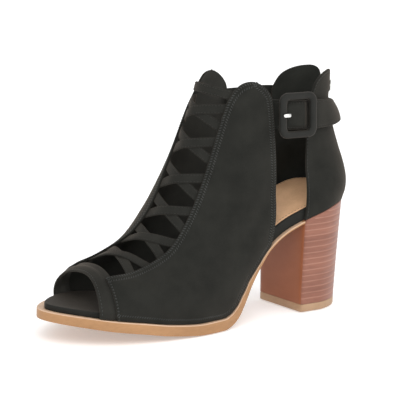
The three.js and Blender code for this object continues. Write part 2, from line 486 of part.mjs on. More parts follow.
// frame of the buckle: local x towards the heel, y up, z out of the foot
const buckleFrame = new THREE.Matrix4()
  .makeTranslation(...BUCKLE_AT)
  .multiply(new THREE.Matrix4().makeRotationY(-BUCKLE_TILT * RAD))
  .multiply(new THREE.Matrix4().makeRotationZ(BUCKLE_TURN * RAD))
  .multiply(new THREE.Matrix4().makeRotationX(BUCKLE_LEAN * RAD))
  .multiply(new THREE.Matrix4().makeBasis(new THREE.Vector3(-1, 0, 0), new THREE.Vector3(0, 0, 1), new THREE.Vector3(0, 1, 0)));
function roundRect(target, w, h, r) {
  const x = -w / 2, y = -h / 2;
  target.moveTo(x + r, y);
  target.lineTo(x + w - r, y); target.absarc(x + w - r, y + r, r, -Math.PI / 2, 0, false);
  target.lineTo(x + w, y + h - r); target.absarc(x + w - r, y + h - r, r, 0, Math.PI / 2, false);
  target.lineTo(x + r, y + h); target.absarc(x + r, y + h - r, r, Math.PI / 2, Math.PI, false);
  target.lineTo(x, y + r); target.absarc(x + r, y + r, r, Math.PI, 1.5 * Math.PI, false);
  return target;
}
const bevel = 1.2;
const buckleShape = roundRect(new THREE.Shape(), BUCKLE_W - 2 * bevel, BUCKLE_H - 2 * bevel, BUCKLE_R - bevel);
buckleShape.holes.push(roundRect(new THREE.Path(), BUCKLE_W - 2 * BUCKLE_SIDE + 2 * bevel, BUCKLE_H - 2 * BUCKLE_RAIL + 2 * bevel, 3.2 + bevel));
const buckle = new THREE.ExtrudeGeometry(buckleShape, { depth: BUCKLE_T - 2 * bevel, bevelEnabled: true, bevelThickness: bevel, bevelSize: bevel, bevelSegments: 2, curveSegments: 5 });
buckle.translate(0, 0, -BUCKLE_T + bevel);
// prong: a flat bar over the toe-side bar, through the strap's slit and back behind the strap
const prongPath = [[-15.2, 1.3], [-11.5, 1.4], [-8.4, 1.0], [-6.4, -2.2], [-4.6, -5.9], [-0.5, -6.6], [7, -6.2]];
function prongBar(w, t, grow) {
  const V = [], T = [], n = prongPath.length;
  prongPath.forEach(([x, z], k) => {
    const a = prongPath[Math.max(k - 1, 0)], b = prongPath[Math.min(k + 1, n - 1)], l = Math.hypot(b[0] - a[0], b[1] - a[1]);
    const nx = -(b[1] - a[1]) / l, nz = (b[0] - a[0]) / l, ww = (k === 0 ? 0.62 : 1) * w + 2 * grow, tt = t + 2 * grow;
    for (const [u, v] of [[-0.5, -0.5], [0.5, -0.5], [0.5, 0.5], [-0.5, 0.5]]) V.push(new THREE.Vector3(x + nx * v * tt, u * ww + 0.5, z + nz * v * tt));
  });
  for (let k = 0; k < n - 1; k++) for (let e = 0; e < 4; e++) {
    const i = k * 4 + e, j = k * 4 + ((e + 1) % 4);
    T.push([i, j, j + 4], [i, j + 4, i + 4]);
  }
  const m = (n - 1) * 4;
  T.push([0, 2, 1], [0, 3, 2], [m, m + 1, m + 2], [m, m + 2, m + 3]);
  return geometryOf(V, T);
}
const prong = prongBar(2.6, 1.5, 0);
for (const g of [buckle, prong]) g.applyMatrix4(buckleFrame);
const prongRoom = prongBar(2.6, 1.5, 0.35);
prongRoom.applyMatrix4(buckleFrame);
strapSolid = strapSolid.subtract(solidOf(prongRoom));
const ankleStrap = geometryFrom(strapSolid);

const group = new THREE.Group();
function place(name, geometry, color, roughness, metalness = 0) {
  const mesh = new THREE.Mesh(geometry, new THREE.MeshStandardMaterial({ color, roughness, metalness }));
  mesh.name = name;
  group.add(mesh);
  return mesh;
}
place("outsole", outsole, 0xc9a06c, 0.6);
place("insole", insole, 0x262624, 0.9);
place("heel", heel, 0xa8694a, 0.45);
place("heel_tip", topPiece, 0xc8a878, 0.6);
place("upper", upper, 0x20211e, 0.95);
place("heel_counter", counter, 0x20211e, 0.95);

// ------------------------------------------------------------------ zip slider at the top of the closed zip, its pull hanging from a ring
const acrossZip = new THREE.Matrix4().makeTranslation(...ZIP_PIVOT)
  .multiply(new THREE.Matrix4().makeBasis(new THREE.Vector3(-1, 0, 0), new THREE.Vector3(0, 0, 1), new THREE.Vector3(0, 1, 0)));
const ontoZip = new THREE.Matrix4().makeTranslation(...ZIP_PIVOT)
  .multiply(new THREE.Matrix4().makeBasis(new THREE.Vector3(0, -1, 0), new THREE.Vector3(0, 0, 1), new THREE.Vector3(-1, 0, 0)));
const ringShape = new THREE.Shape();
ringShape.absarc(0, 0, 2.05, 0, 2 * Math.PI, false);
const ringHole = new THREE.Path();
ringHole.absarc(0, 0, 1.15, 0, 2 * Math.PI, false);
ringShape.holes.push(ringHole);
const ring = new THREE.ExtrudeGeometry(ringShape, { depth: 2.2, bevelEnabled: false, curveSegments: 8 });
ring.translate(0, 0, -1.1);
ring.applyMatrix4(acrossZip);
const bodyShape = new THREE.Shape();
bodyShape.moveTo(-1.7, -5.0); bodyShape.lineTo(1.7, -5.0); bodyShape.lineTo(2.1, -3); bodyShape.lineTo(2.5, 0.6); bodyShape.lineTo(2.0, 1.8); bodyShape.lineTo(-2.0, 1.8); bodyShape.lineTo(-2.5, 0.6); bodyShape.lineTo(-2.1, -3);
const body = new THREE.ExtrudeGeometry(bodyShape, { depth: 1.2, bevelEnabled: true, bevelThickness: 0.35, bevelSize: 0.35, bevelSegments: 1 });
body.translate(0, 0, -2.7);
body.applyMatrix4(ontoZip);
const zipSlider = geometryFrom(solidOf(body).add(solidOf(ring)));
const pullShape = new THREE.Shape();
const pw = PULL_W / 2;
pullShape.moveTo(-pw, 0.6); pullShape.lineTo(-pw * 0.86, -PULL_L + 1.6);
pullShape.absarc(0, -PULL_L + 1.9, pw * 0.84, Math.PI + 0.1, 2 * Math.PI - 0.1, false);
pullShape.lineTo(pw, 0.6);
const pullHole = new THREE.Path();
pullHole.moveTo(-1.5, -0.6); pullHole.lineTo(1.5, -0.6); pullHole.lineTo(1.5, -3.1); pullHole.lineTo(-1.5, -3.1);
pullShape.holes.push(pullHole);
const zipPull = new THREE.ExtrudeGeometry(pullShape, { depth: PULL_T, bevelEnabled: false, curveSegments: 8 });
zipPull.translate(0, 0, -PULL_T / 2);
zipPull.applyMatrix4(ontoZip);

place("ankle_strap", ankleStrap, 0x20211e, 0.95);
place("buckle", buckle, 0x242522, 0.9);
place("buckle_prong", prong, 0xd6d6d2, 0.25, 1);
place("zip_slider", zipSlider, 0xd6d6d2, 0.3, 1);
place("zip_pull", zipPull, 0xd6d6d2, 0.3, 1);

export default group;
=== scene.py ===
# Block heel peep-toe ankle sandal, left shoe. Sizes in mm are turned into metres when a mesh is made.
import math
import bpy
import numpy as np
from mathutils import Matrix, Vector


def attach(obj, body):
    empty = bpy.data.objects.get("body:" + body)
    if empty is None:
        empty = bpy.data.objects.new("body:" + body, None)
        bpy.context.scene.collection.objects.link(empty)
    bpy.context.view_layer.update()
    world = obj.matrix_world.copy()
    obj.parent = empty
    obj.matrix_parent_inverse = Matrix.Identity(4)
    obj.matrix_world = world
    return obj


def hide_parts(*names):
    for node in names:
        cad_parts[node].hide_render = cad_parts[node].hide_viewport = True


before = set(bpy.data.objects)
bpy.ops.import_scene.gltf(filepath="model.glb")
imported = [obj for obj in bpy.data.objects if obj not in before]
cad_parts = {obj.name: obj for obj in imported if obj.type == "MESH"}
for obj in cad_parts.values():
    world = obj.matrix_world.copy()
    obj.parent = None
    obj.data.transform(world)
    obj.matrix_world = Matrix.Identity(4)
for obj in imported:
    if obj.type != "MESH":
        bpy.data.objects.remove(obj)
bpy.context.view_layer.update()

# ------------------------------------------------------------------ tables of the last and its pieces
SOLE = [ [-30, 71.4, 1.5, 27.8, 26.8, 0.2], [-10, 69.8, 1.5, 27.8, 26.8, 0.2], [5, 65.7, 1.5, 27.4, 26.6, 0.2], [18, 61.5, 1.5, 26.5, 25.6, 0.2], [32, 55.8, 1.5, 25.9, 24.0, 0.2], [46, 47.0, 1.6, 27.0, 23.0, 0.2], [56, 36.1, 2.1, 28.7, 23.4, 0.3], [64, 24.9, 3.2, 30.2, 24.6, 0.4], [70, 14.4, 4.5, 31.5, 26.0, 0.6], [76, 6.2, 6.4, 33.0, 27.8, 0.8], [83, 1.6, 7.5, 34.7, 30.2, 1.0], [90, 0.0, 7.6, 36.2, 33.0, 1.4], [107, 0.0, 7.4, 38.1, 37.4, 1.9], [118, 0.8, 7.2, 38.6, 39.4, 2.0], [135, 2.9, 7.1, 38.4, 41.0, 2.0], [155, 6.3, 7.0, 36.0, 40.0, 2.0], [175, 9.4, 6.9, 31.5, 35.8, 2.0], [192, 12.3, 6.7, 26.0, 28.2, 2.2], [212, 15.3, 6.2, 19.0, 18.0, 2.6], ]
RIDGE = [ [204.8, 23.5], [196.6, 30.2], [185.6, 37.9], [171, 46.4], [155.1, 51.5], [137.5, 60.7], [124.6, 77.7], [115.1, 94.8], [106.1, 113.3], [97.9, 133.6], [91, 153.2], [87.3, 167.6], ]
BACK = [ [-24.8, 61.6], [-25.2, 70.6], [-27.4, 77.6], [-28, 86.6], [-26, 97.6], [-22.4, 109.6], [-18.6, 122.6], [-15.6, 137.6], [-14.8, 151.6], [-14.6, 166.6], ]
DOME = [[0, 14], [20, 20], [40, 25], [65, 32], [95, 40], [130, 46], [170, 46], [230, 44]]
ANKLE_HALF = [[-30, 18, 17], [-5, 18.5, 17.5], [10, 19.5, 18.5], [25, 22.5, 21.5], [45, 26.5, 25], [60, 27.5, 26], [90, 29.5, 28.5], [130, 36, 37], [170, 34, 37], [206, 24, 30]]
SWING_AT = [[0, 0], [35, 0], [60, 0.4], [85, 0.95], [105, 1], [130, 0.85], [155, 0.5], [175, 0.15], [190, 0]]
PANEL_FRONT = [ [38, 31.5, 31], [50, 37, 35], [60, 39.5, 34], [72, 40.5, 22], [84, 43, 12.5], [100, 44, 7], [112, 44, 8], [125, 43.3, 12], [140, 42.6, 16], [155, 41.8, 22], [170, 41.5, 31], [180, 42.5, 40], [187, 45.8, 45.8], ]
PANEL_LOBE = [ [74.6, 156.6], [70.8, 159.7], [64.8, 161], [58.2, 159], [52.8, 154.7], [49.4, 150], ]
PANEL_REAR = [ [47.8, 141.6], [45.6, 123.6], [43.6, 101.6], [43.4, 85.6], [44.2, 64.6], [45.8, 51.6], ]
PANEL_CORNER = [46.2, 171.8, 165.6]
COUNTER_FRONT = [[18.4, 62.6], [17.6, 84.6], [16.6, 103.6], [14.6, 123.6], [12.6, 141.6], [11, 166.6]]
COUNTER_TOP = [ [-14.85, 141.5], [-14, 152], [-13, 158.4], [-11, 160.2], [-7, 160.3], [0, 158.6], [6.3, 154.8], [9.6, 149.6], [11.8, 143.6], [13.2, 135.6], [14.6, 123.6], ]
LOBE_SHIFT = [-1.4, 4.4]
CROSSES = [[177, 163], [155, 141], [131.7, 116.5], [109.5, 94.7], [87, 75], [68, 54]]
ANKLE_OUT = [ [52, 23.0, 138.0, 1.2, 19.4], [46, 23.5, 137.6, 1.6, 19.4], [40, 24.8, 137.0, 2, 19.4], [30, 25.6, 135.8, 2, 19.4], [20, 25.3, 135.0, 2, 19.3], [10, 24.1, 134.5, 2.2, 19.2], [0, 21.0, 133.8, 2.8, 18.6], [-8.8, 17.2, 133.0, 4.0, 17.0], [-16.2, 11.2, 132.3, 5.8, 15.2], [-20.6, 5.3, 131.9, 6.8, 14.2], ]
ANKLE_MID = [-22.2, 0, 131.8, 7.2, 14.0]
ANKLE_IN = [ [-20.6, -5.3, 132.0, 6.8, 14.2], [-16.2, -10.8, 132.6, 5.6, 15.4], [-8.8, -16.6, 133.8, 4.0, 17.6], [0, -20.6, 135.0, 2.4, 18.8], [12, -23.3, 136.6, 1.4, 19.4], [26, -23.6, 137.4, 1, 19.6], [38, -23.6, 137.4, 1, 19.6], [46, -22.6, 137.8, 1, 19.6], [52, -22.2, 138.0, 1, 19.6], ]
BAND_FRONT = [183.2, 177.0]
BAND_REAR = [168.0, 162.0]
BAND_CREST = [32.8, 44.5]
BUCKLE_AT = [29.0, 30.6, 136.5]
ZIP_PIVOT = [-18.0, 0, 149.8]
GAP = 0.3
WALL = 2.0
INSOLE_T = 7.0
INSOLE_BALL = 5.2
INSOLE_TOE = 3.6
INSOLE_CUP = 1.8
SHOULDER = 30
TIP_X = 207.0
TOE_FROM = 165
BREAST_TOP = 18.0
BREAST_BOTTOM = 19.4
TOP_PIECE_T = 5.0
HEEL_BOTTOM_HALF = 21.8
HEEL_BOTTOM_BACK = -20.8
HEEL_BOTTOM_MID = 2.6
HEEL_BOTTOM_SKEW = -0.055
BAND_BOW = 1.5
STRAP_W = 6.2
TOP_STRAP = 184.5
BUCKLE_W = 32.0
BUCKLE_H = 30.0
BUCKLE_SIDE = 5.6
BUCKLE_RAIL = 4.7
BUCKLE_T = 3.8
BUCKLE_R = 6.5
BUCKLE_TURN = 4.6
BUCKLE_TILT = 3.0
BUCKLE_LEAN = 6
SWING = 7
TREAD = 2.2
TOE_IN = 2.3
BED_BACK = -21.6
BED_TOE_CLIP = 1.4
INSOLE_IN = WALL + GAP
LEAN = (-0.57, -0.792, -0.218)

# ------------------------------------------------------------------ small maths
def monotone(rows, col):
    x = np.array([r[0] for r in rows], float); y = np.array([r[col] for r in rows], float)
    h = np.diff(x); d = np.diff(y) / h; m = np.zeros(len(x)); m[0] = d[0]; m[-1] = d[-1]
    for i in range(1, len(x) - 1):
        if d[i - 1] * d[i] > 0:
            w1 = 2 * h[i] + h[i - 1]; w2 = h[i] + 2 * h[i - 1]
            m[i] = (w1 + w2) / (w1 / d[i - 1] + w2 / d[i])
    def f(q):
        v = np.clip(np.asarray(q, float), x[0], x[-1]); i = np.clip(np.searchsorted(x, v, side="right") - 1, 0, len(x) - 2)
        t = (v - x[i]) / h[i]; t2 = t * t; t3 = t2 * t
        return (2 * t3 - 3 * t2 + 1) * y[i] + (t3 - 2 * t2 + t) * h[i] * m[i] + (3 * t2 - 2 * t3) * y[i + 1] + (t3 - t2) * h[i] * m[i + 1]
    return f


class Line:
    def __init__(s, P, steps=12):
        P = np.array(P, float); n = len(P)
        t = np.concatenate([[0], np.cumsum(np.sqrt(np.hypot(*(P[1:] - P[:-1]).T)))])
        m = np.zeros_like(P)
        f = lambda a, b: (P[b] - P[a]) / (t[b] - t[a])
        for i in range(n):
            if i == 0: m[i] = f(0, 1)
            elif i == n - 1: m[i] = f(n - 2, n - 1)
            else:
                a = f(i - 1, i); b = f(i, i + 1); h0 = t[i] - t[i - 1]; h1 = t[i + 1] - t[i]
                m[i] = (a * h1 + b * h0) / (h0 + h1)
        out = []
        for i in range(n - 1):
            h = t[i + 1] - t[i]
            for k in range(steps):
                q = k / steps; q2 = q * q; q3 = q2 * q
                out.append((2 * q3 - 3 * q2 + 1) * P[i] + (q3 - 2 * q2 + q) * h * m[i] + (3 * q2 - 2 * q3) * P[i + 1] + (q3 - q2) * h * m[i + 1])
        out.append(P[-1]); s.p = np.array(out)
        s.len = np.concatenate([[0], np.cumsum(np.hypot(*(s.p[1:] - s.p[:-1]).T))]); s.total = s.len[-1]

    def along(s, q):
        v = np.clip(np.asarray(q, float), 0, s.total)
        return np.stack([np.interp(v, s.len, s.p[:, 0]), np.interp(v, s.len, s.p[:, 1])], -1)

    def nearest(s, x, z):
        x = np.asarray(x, float); z = np.asarray(z, float); sh = np.broadcast(x, z).shape
        X = np.broadcast_to(x, sh).reshape(-1, 1); Z = np.broadcast_to(z, sh).reshape(-1, 1)
        a = s.p[:-1]; u = s.p[1:] - a
        t = np.clip(((X - a[:, 0]) * u[:, 0] + (Z - a[:, 1]) * u[:, 1]) / (u ** 2).sum(1), 0, 1)
        dx = X - a[:, 0] - t * u[:, 0]; dz = Z - a[:, 1] - t * u[:, 1]
        d = np.hypot(dx, dz); k = d.argmin(1); r = np.arange(len(k))
        sg = np.sign(u[k, 0] * (Z[:, 0] - a[k, 1]) - u[k, 1] * (X[:, 0] - a[k, 0])); sg[sg == 0] = 1
        L = s.len[:-1][k] + t[r, k] * np.diff(s.len)[k]
        return (d[r, k] * sg).reshape(sh), L.reshape(sh)


clamp01 = lambda t: np.clip(t, 0, 1)
mix = lambda a, b, t: a + (b - a) * t
def ease(t):
    c = clamp01(t); return c * c * (3 - 2 * c)

solBottom, solThick, halfOut, halfIn, ledgeAt = [monotone(SOLE, k) for k in range(1, 6)]
domeDepth = monotone(DOME, 1); ankleOut, ankleIn = monotone(ANKLE_HALF, 1), monotone(ANKLE_HALF, 2)
edgeOut, edgeIn, swingAt = monotone(PANEL_FRONT, 1), monotone(PANEL_FRONT, 2), monotone(SWING_AT, 1)
ridge, back = Line(RIDGE), Line(BACK)
slopeAt = lambda x: solBottom(x + .5) - solBottom(x - .5)
solTop = lambda x: solBottom(x) + solThick(x) * np.sqrt(1 + slopeAt(x) ** 2)
raise_ = lambda x, h: solTop(x) + h * np.sqrt(1 + slopeAt(x) ** 2)
dome = lambda d, depth: np.sqrt(np.maximum(0, 1 - np.maximum(0, 1 - d / depth) ** 2))
footZ = lambda x: raise_(x, GAP + 0.06)

def half(side, x, z):
    h = z - solTop(x); low = np.where(side > 0, halfOut(x), halfIn(x)); high = np.where(side > 0, ankleOut(x), ankleIn(x))
    k = ease(h / 80); bulge = 1.6 * np.sin(np.pi * clamp01(h / 34))
    fd, fs = ridge.nearest(x, z); bd, bs = back.nearest(x, z)
    depthBack = mix(SHOULDER, 38, ease((z - 95) / 50))
    return (low * (1 - k) + high * k + bulge) * dome(np.maximum(fd, 0), domeDepth(fs)) * dome(np.maximum(-bd, 0), depthBack)

def skin(side, x, z):
    x = np.asarray(x, float); z = np.asarray(z, float)
    fd, fs = ridge.nearest(x, z)
    t = SWING * swingAt(fs) * ease((z - solTop(x)) / 45) * (1 - ease((fd - 20) / 40))
    return np.stack(np.broadcast_arrays(x + t * LEAN[0], side * half(side, x, z) + t * LEAN[1], z + t * LEAN[2]), -1)

def below(s, d):
    s = np.asarray(s, float)
    p = ridge.along(s); a = ridge.along(s - 1.5); b = ridge.along(s + 1.5); u = b - a; l = np.hypot(u[..., 0], u[..., 1])
    return np.stack([p[..., 0] - u[..., 1] / l * d, p[..., 1] + u[..., 0] / l * d], -1)

depthOf = lambda s, angle: domeDepth(s) * (1 - np.cos(np.radians(np.abs(angle))))
def onFront(s, angle):
    q = below(s, depthOf(s, angle))
    return skin(np.where(np.asarray(angle) >= 0, 1, -1), q[..., 0], q[..., 1])

def outline(x, g, tip=None):
    x = np.asarray(x, float); tip = TIP_X + g if tip is None else tip
    t = clamp01((x - TOE_FROM) / (tip - TOE_FROM)); toe = np.sqrt(np.maximum(0, 1 - np.power(t, 2.3)))
    mid = -1.5 * np.power(clamp01((x - 150) / (TIP_X - 150)), 1.4)
    b, _ = back.nearest(x, solTop(x)); hr = dome(np.maximum(-b, 0), SHOULDER)
    return mid + (halfOut(x) * hr - mid + g) * toe, mid - (halfIn(x) * hr + mid + g) * toe

def xAt(L, z):
    return np.interp(z, L.p[:, 1], L.p[:, 0])

# ------------------------------------------------------------------ meshes
OBJ = {}
def make(name, V, F, mats, index=None, smooth=True, body="shoe"):
    V = np.asarray(V, float)
    F = [tuple(int(i) for i in f) for f in F]
    vol = 0.0
    for f in F:
        a = V[f[0]]
        for k in range(1, len(f) - 1):
            vol += float(a @ np.cross(V[f[k]], V[f[k + 1]]))
    if vol < 0: F = [f[::-1] for f in F]
    me = bpy.data.meshes.new(name)
    me.from_pydata((V * 0.001).tolist(), [], F)
    for m in mats: me.materials.append(m)
    if index is not None: me.polygons.foreach_set("material_index", np.asarray(index, dtype=np.int32))
    me.polygons.foreach_set("use_smooth", np.ones(len(F), dtype=bool) if smooth else np.zeros(len(F), dtype=bool))
    me.validate(); me.update()
    o = bpy.data.objects.new(name, me)
    bpy.context.scene.collection.objects.link(o)
    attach(o, body)
    OBJ[name] = o
    return o

def arcs(G):
    return np.concatenate([np.zeros((G.shape[0], 1)), np.cumsum(np.linalg.norm(np.diff(G, axis=1), axis=2), axis=1)], 1)

def refit(G, near, far, step, trim=0.0):
    """rows resampled: fixed distances from both ends, even steps between"""
    L = arcs(G); tot = L[:, -1] - trim
    n = max(3, int(np.median(tot) / step)); a, b = near[-1], far[-1]
    out = []
    for i in range(len(G)):
        k = min(1.0, max(tot[i], 1e-3) * 0.8 / (a + b))
        A = np.array(near) * k; B = tot[i] - np.array(far)[::-1] * k
        t = np.concatenate([A, np.linspace(A[-1], B[0], n + 2)[1:-1], B])
        out.append(np.stack([np.interp(t, L[i], G[i, :, e]) for e in range(3)], 1))
    return np.array(out)

def flipT(G): return np.transpose(G, (1, 0, 2))

def normals(G):
    a = np.empty_like(G); b = np.empty_like(G)
    a[1:-1] = G[2:] - G[:-2]; a[0] = G[1] - G[0]; a[-1] = G[-1] - G[-2]
    b[:, 1:-1] = G[:, 2:] - G[:, :-2]; b[:, 0] = G[:, 1] - G[:, 0]; b[:, -1] = G[:, -1] - G[:, -2]
    n = np.cross(a, b); l = np.linalg.norm(n, axis=2, keepdims=True)
    n = n / np.maximum(l, 1e-12)
    mid = G.mean((0, 1)); c = (n * (G - np.array([60.0, 0.0, 60.0]))).sum()
    return n if c > 0 else -n

def soften(N, times=2):
    for _ in range(times):
        P = np.pad(N, ((1, 1), (1, 1), (0, 0)), mode="edge")
        N = (P[1:-1, 1:-1] * 2 + P[:-2, 1:-1] + P[2:, 1:-1] + P[1:-1, :-2] + P[1:-1, 2:])
        N = N / np.maximum(np.linalg.norm(N, axis=2, keepdims=True), 1e-12)
    return N

def rounding(d, r):
    return np.where(d < r, r - np.sqrt(np.maximum(0, r * r - (r - np.minimum(d, r)) ** 2)), 0.0)

BAND_D = [0.0, 0.06, 0.2, 0.42, 0.7]
def shell(name, G, T, r=0.6, lift=0.0, mats=None, rows=(1, 1), cols=(1, 1), grooves=(), step=1.6, wave=None, trim=0.0, body="shoe"):
    """closed sheet of thickness T under the grid G, rims rounded; grooves are (edge, distance, depth)"""
    near = [d * r / 0.7 for d in BAND_D]
    def marks(e):
        m = list(near)
        for (g, dist, dep) in grooves:
            if g == e: m += [dist - 0.45, dist - 0.2, dist, dist + 0.2, dist + 0.45]
        return sorted(set(round(v, 4) for v in m))
    G = refit(G, marks("c0"), marks("c1"), step)
    G = flipT(refit(flipT(G), marks("r0"), marks("r1"), step, trim))
    N = soften(normals(G))
    Lc = arcs(G); Lr = arcs(flipT(G)).T
    dist = {"c0": Lc, "c1": Lc[:, -1:] - Lc, "r0": Lr, "r1": Lr[-1:, :] - Lr}
    prof = np.zeros(G.shape[:2])
    for e, on in (("r0", rows[0]), ("r1", rows[1]), ("c0", cols[0]), ("c1", cols[1])):
        if on: prof = np.maximum(prof, rounding(dist[e], r))
    groove = np.zeros_like(prof)
    for (g, dd, dep) in grooves: groove = np.maximum(groove, dep * np.exp(-((dist[g] - dd) / 0.28) ** 2))
    w = wave(G) if wave is not None else 0.0
    top = G - N * (lift + prof + groove + w)[..., None]
    low = G - N * (lift + T - prof + w)[..., None]
    R, C = G.shape[:2]; V = np.concatenate([top.reshape(-1, 3), low.reshape(-1, 3)]); o = R * C
    F = []; M = []
    for i in range(R - 1):
        for j in range(C - 1):
            a = i * C + j
            F.append((a, a + C, a + C + 1, a + 1)); M.append(0)
            F.append((o + a, o + a + 1, o + a + C + 1, o + a + C)); M.append(1 if len(mats) > 1 and 3 < i < R - 5 and 3 < j < C - 5 else 0)
    for j in range(C - 1):
        F.append((j, j + 1, o + j + 1, o + j)); M.append(0)
        b = (R - 1) * C + j; F.append((b, o + b, o + b + 1, b + 1)); M.append(0)
    for i in range(R - 1):
        a = i * C; F.append((a, o + a, o + a + C, a + C)); M.append(0)
        b = i * C + C - 1; F.append((b, b + C, o + b + C, o + b)); M.append(0)
    ob = make(name, V, F, mats, M, body=body)
    return ob, top, N, dist

def line_at(top, N, dist, edge, d):
    """points and normals on the sheet at distance d from one of its edges"""
    D = dist[edge]
    if edge[0] == "c":
        P = []; Q = []
        for i in range(top.shape[0]):
            o = np.argsort(D[i]); P.append([np.interp(d, D[i][o], top[i, o, e]) for e in range(3)]); Q.append([np.interp(d, D[i][o], N[i, o, e]) for e in range(3)])
    else:
        P = []; Q = []
        for j in range(top.shape[1]):
            o = np.argsort(D[:, j]); P.append([np.interp(d, D[o, j], top[o, j, e]) for e in range(3)]); Q.append([np.interp(d, D[o, j], N[o, j, e]) for e in range(3)])
    return np.array(P), np.array(Q)

STITCH = {}
def stitches(key, P, N, keep=None, pitch=2.3, length=1.55, radius=0.24, sink=0.02, across=False, slant=0.0):
    s = np.concatenate([[0], np.cumsum(np.linalg.norm(np.diff(P, axis=0), axis=1))])
    if s[-1] < pitch * 2: return
    n = int(s[-1] / pitch)
    c = (np.arange(n) + 0.5) * s[-1] / n
    at = lambda A, q: np.stack([np.interp(q, s, A[:, e]) for e in range(3)], 1)
    p, nn = at(P, c), at(N, c); t = at(P, np.minimum(c + 0.5, s[-1])) - at(P, np.maximum(c - 0.5, 0))
    t /= np.maximum(np.linalg.norm(t, axis=1, keepdims=True), 1e-9)
    nn -= t * (nn * t).sum(1, keepdims=True); nn /= np.maximum(np.linalg.norm(nn, axis=1, keepdims=True), 1e-9)
    b = np.cross(nn, t)
    if across: t, b = b * math.cos(slant) + t * math.sin(slant), -t * math.cos(slant) + b * math.sin(slant)
    if keep is not None:
        ok = np.array([bool(keep(q)) for q in p]); p, nn, t, b = p[ok], nn[ok], t[ok], b[ok]
    K = 6; prof = [(-1.0, 0.35), (-0.72, 0.9), (0.0, 1.0), (0.72, 0.9), (1.0, 0.35)]
    for q, n_, t_, b_ in zip(p, nn, t, b):
        V, F = STITCH.setdefault(key, ([], [])); base = len(V)
        for (u, w) in prof:
            bow = -0.12 * u * u
            for k in range(K):
                a = 2 * math.pi * k / K
                V.append(q + t_ * u * length / 2 + b_ * math.cos(a) * w * radius + n_ * (math.sin(a) * w * radius + sink + bow))
        for r_ in range(len(prof) - 1):
            for k in range(K):
                a = base + r_ * K + k; c_ = base + r_ * K + (k + 1) % K
                F.append((a, c_, c_ + K, a + K))
        F.append(tuple(base + k for k in range(K))[::-1]); F.append(tuple(base + (len(prof) - 1) * K + k for k in range(K)))

# ------------------------------------------------------------------ materials
def material(name):
    m = bpy.data.materials.new(name); m.use_nodes = True
    nt = m.node_tree; b = nt.nodes.get("Principled BSDF")
    tc = nt.nodes.new("ShaderNodeTexCoord")
    return m, nt, b, tc.outputs["Object"]

def noise(nt, vec, scale, detail=4.0, rough=0.55):
    n = nt.nodes.new("ShaderNodeTexNoise"); n.inputs["Scale"].default_value = scale; n.inputs["Detail"].default_value = detail; n.inputs["Roughness"].default_value = rough
    nt.links.new(vec, n.inputs["Vector"]); return n.outputs["Fac"]

def ramp(nt, fac, stops):
    r = nt.nodes.new("ShaderNodeValToRGB"); e = r.color_ramp.elements
    while len(e) < len(stops): e.new(0.5)
    for k, (p, c) in enumerate(stops): e[k].position = p; e[k].color = (*c, 1.0)
    nt.links.new(fac, r.inputs["Fac"]); return r.outputs["Color"]

def bump(nt, b, height, strength, distance):
    n = nt.nodes.new("ShaderNodeBump"); n.inputs["Strength"].default_value = strength; n.inputs["Distance"].default_value = distance
    nt.links.new(height, n.inputs["Height"]); nt.links.new(n.outputs["Normal"], b.inputs["Normal"])

def mixfac(nt, a, b_, t):
    m = nt.nodes.new("ShaderNodeMath"); m.operation = "MULTIPLY_ADD"; nt.links.new(a, m.inputs[0]); m.inputs[1].default_value = t; nt.links.new(b_, m.inputs[2]); return m.outputs[0]

def nubuck(name, dark, light, sheen=0.35, tint=(0.75, 0.6, 0.48), rough=0.86, nap=0.35, fine=2600.0):
    m, nt, b, vec = material(name)
    big = noise(nt, vec, 70.0, 3.0); small = noise(nt, vec, 1500.0, 5.0, 0.7)
    f = mixfac(nt, small, big, 0.6)
    nt.links.new(ramp(nt, f, [(0.55, dark), (1.0, light)]), b.inputs["Base Color"])
    b.inputs["Roughness"].default_value = rough; b.inputs["Specular IOR Level"].default_value = 0.18
    b.inputs["Sheen Weight"].default_value = sheen; b.inputs["Sheen Roughness"].default_value = 0.45; b.inputs["Sheen Tint"].default_value = (*tint, 1)
    bump(nt, b, noise(nt, vec, fine, 4.0, 0.7), nap, 0.00025)
    return m

NUBUCK = nubuck("nubuck_black", (0.0080, 0.0086, 0.0070), (0.0155, 0.0158, 0.0132), 0.15)
LINING = nubuck("lining_black", (0.0125, 0.0132, 0.0108), (0.022, 0.0228, 0.019), 0.08, tint=(0.6, 0.6, 0.55), rough=0.8, nap=0.15)
# lighter copies of the black lining: painted light, brightening the insides of the side panels and, more, the toe band
# as if lit by bounced light
LINING_PANEL_LIT = nubuck("lining_panel_painted_light", (0.024, 0.0232, 0.020), (0.040, 0.0388, 0.0335), 0.08, tint=(0.6, 0.6, 0.55), rough=0.8, nap=0.15)
LINING_FRONT_LIT = nubuck("lining_front_painted_light", (0.038, 0.0365, 0.032), (0.062, 0.0595, 0.052), 0.08, tint=(0.6, 0.6, 0.55), rough=0.8, nap=0.15)
# lighter, warmer copy of the black nubuck for the toe band: painted light where the band faces the front light
TOE_BAND_LIT = nubuck("nubuck_band_painted_light", (0.0105, 0.0106, 0.0088), (0.0195, 0.0192, 0.0162), 0.17)
STRAP = nubuck("nubuck_strap", (0.0100, 0.0102, 0.0085), (0.0188, 0.0188, 0.0158), 0.16)
COVER = nubuck("buckle_cover", (0.0082, 0.0086, 0.0074), (0.0145, 0.0150, 0.0132), 0.12, rough=0.65, nap=0.1)
THREAD_DARK = nubuck("thread_dark", (0.014, 0.0145, 0.013), (0.026, 0.027, 0.025), 0.15, rough=0.7, nap=0.4, fine=5000.0)
THREAD = nubuck("thread", (0.024, 0.026, 0.025), (0.046, 0.049, 0.048), 0.15, rough=0.6, nap=0.4, fine=5000.0)
THREAD_TAN = nubuck("thread_tan", (0.25, 0.17, 0.11), (0.42, 0.3, 0.2), 0.1, rough=0.6, nap=0.3, fine=5000.0)
WRAP = nubuck("footbed_wrap", (0.0088, 0.0092, 0.0082), (0.016, 0.0164, 0.0145), 0.12, rough=0.75, nap=0.2)
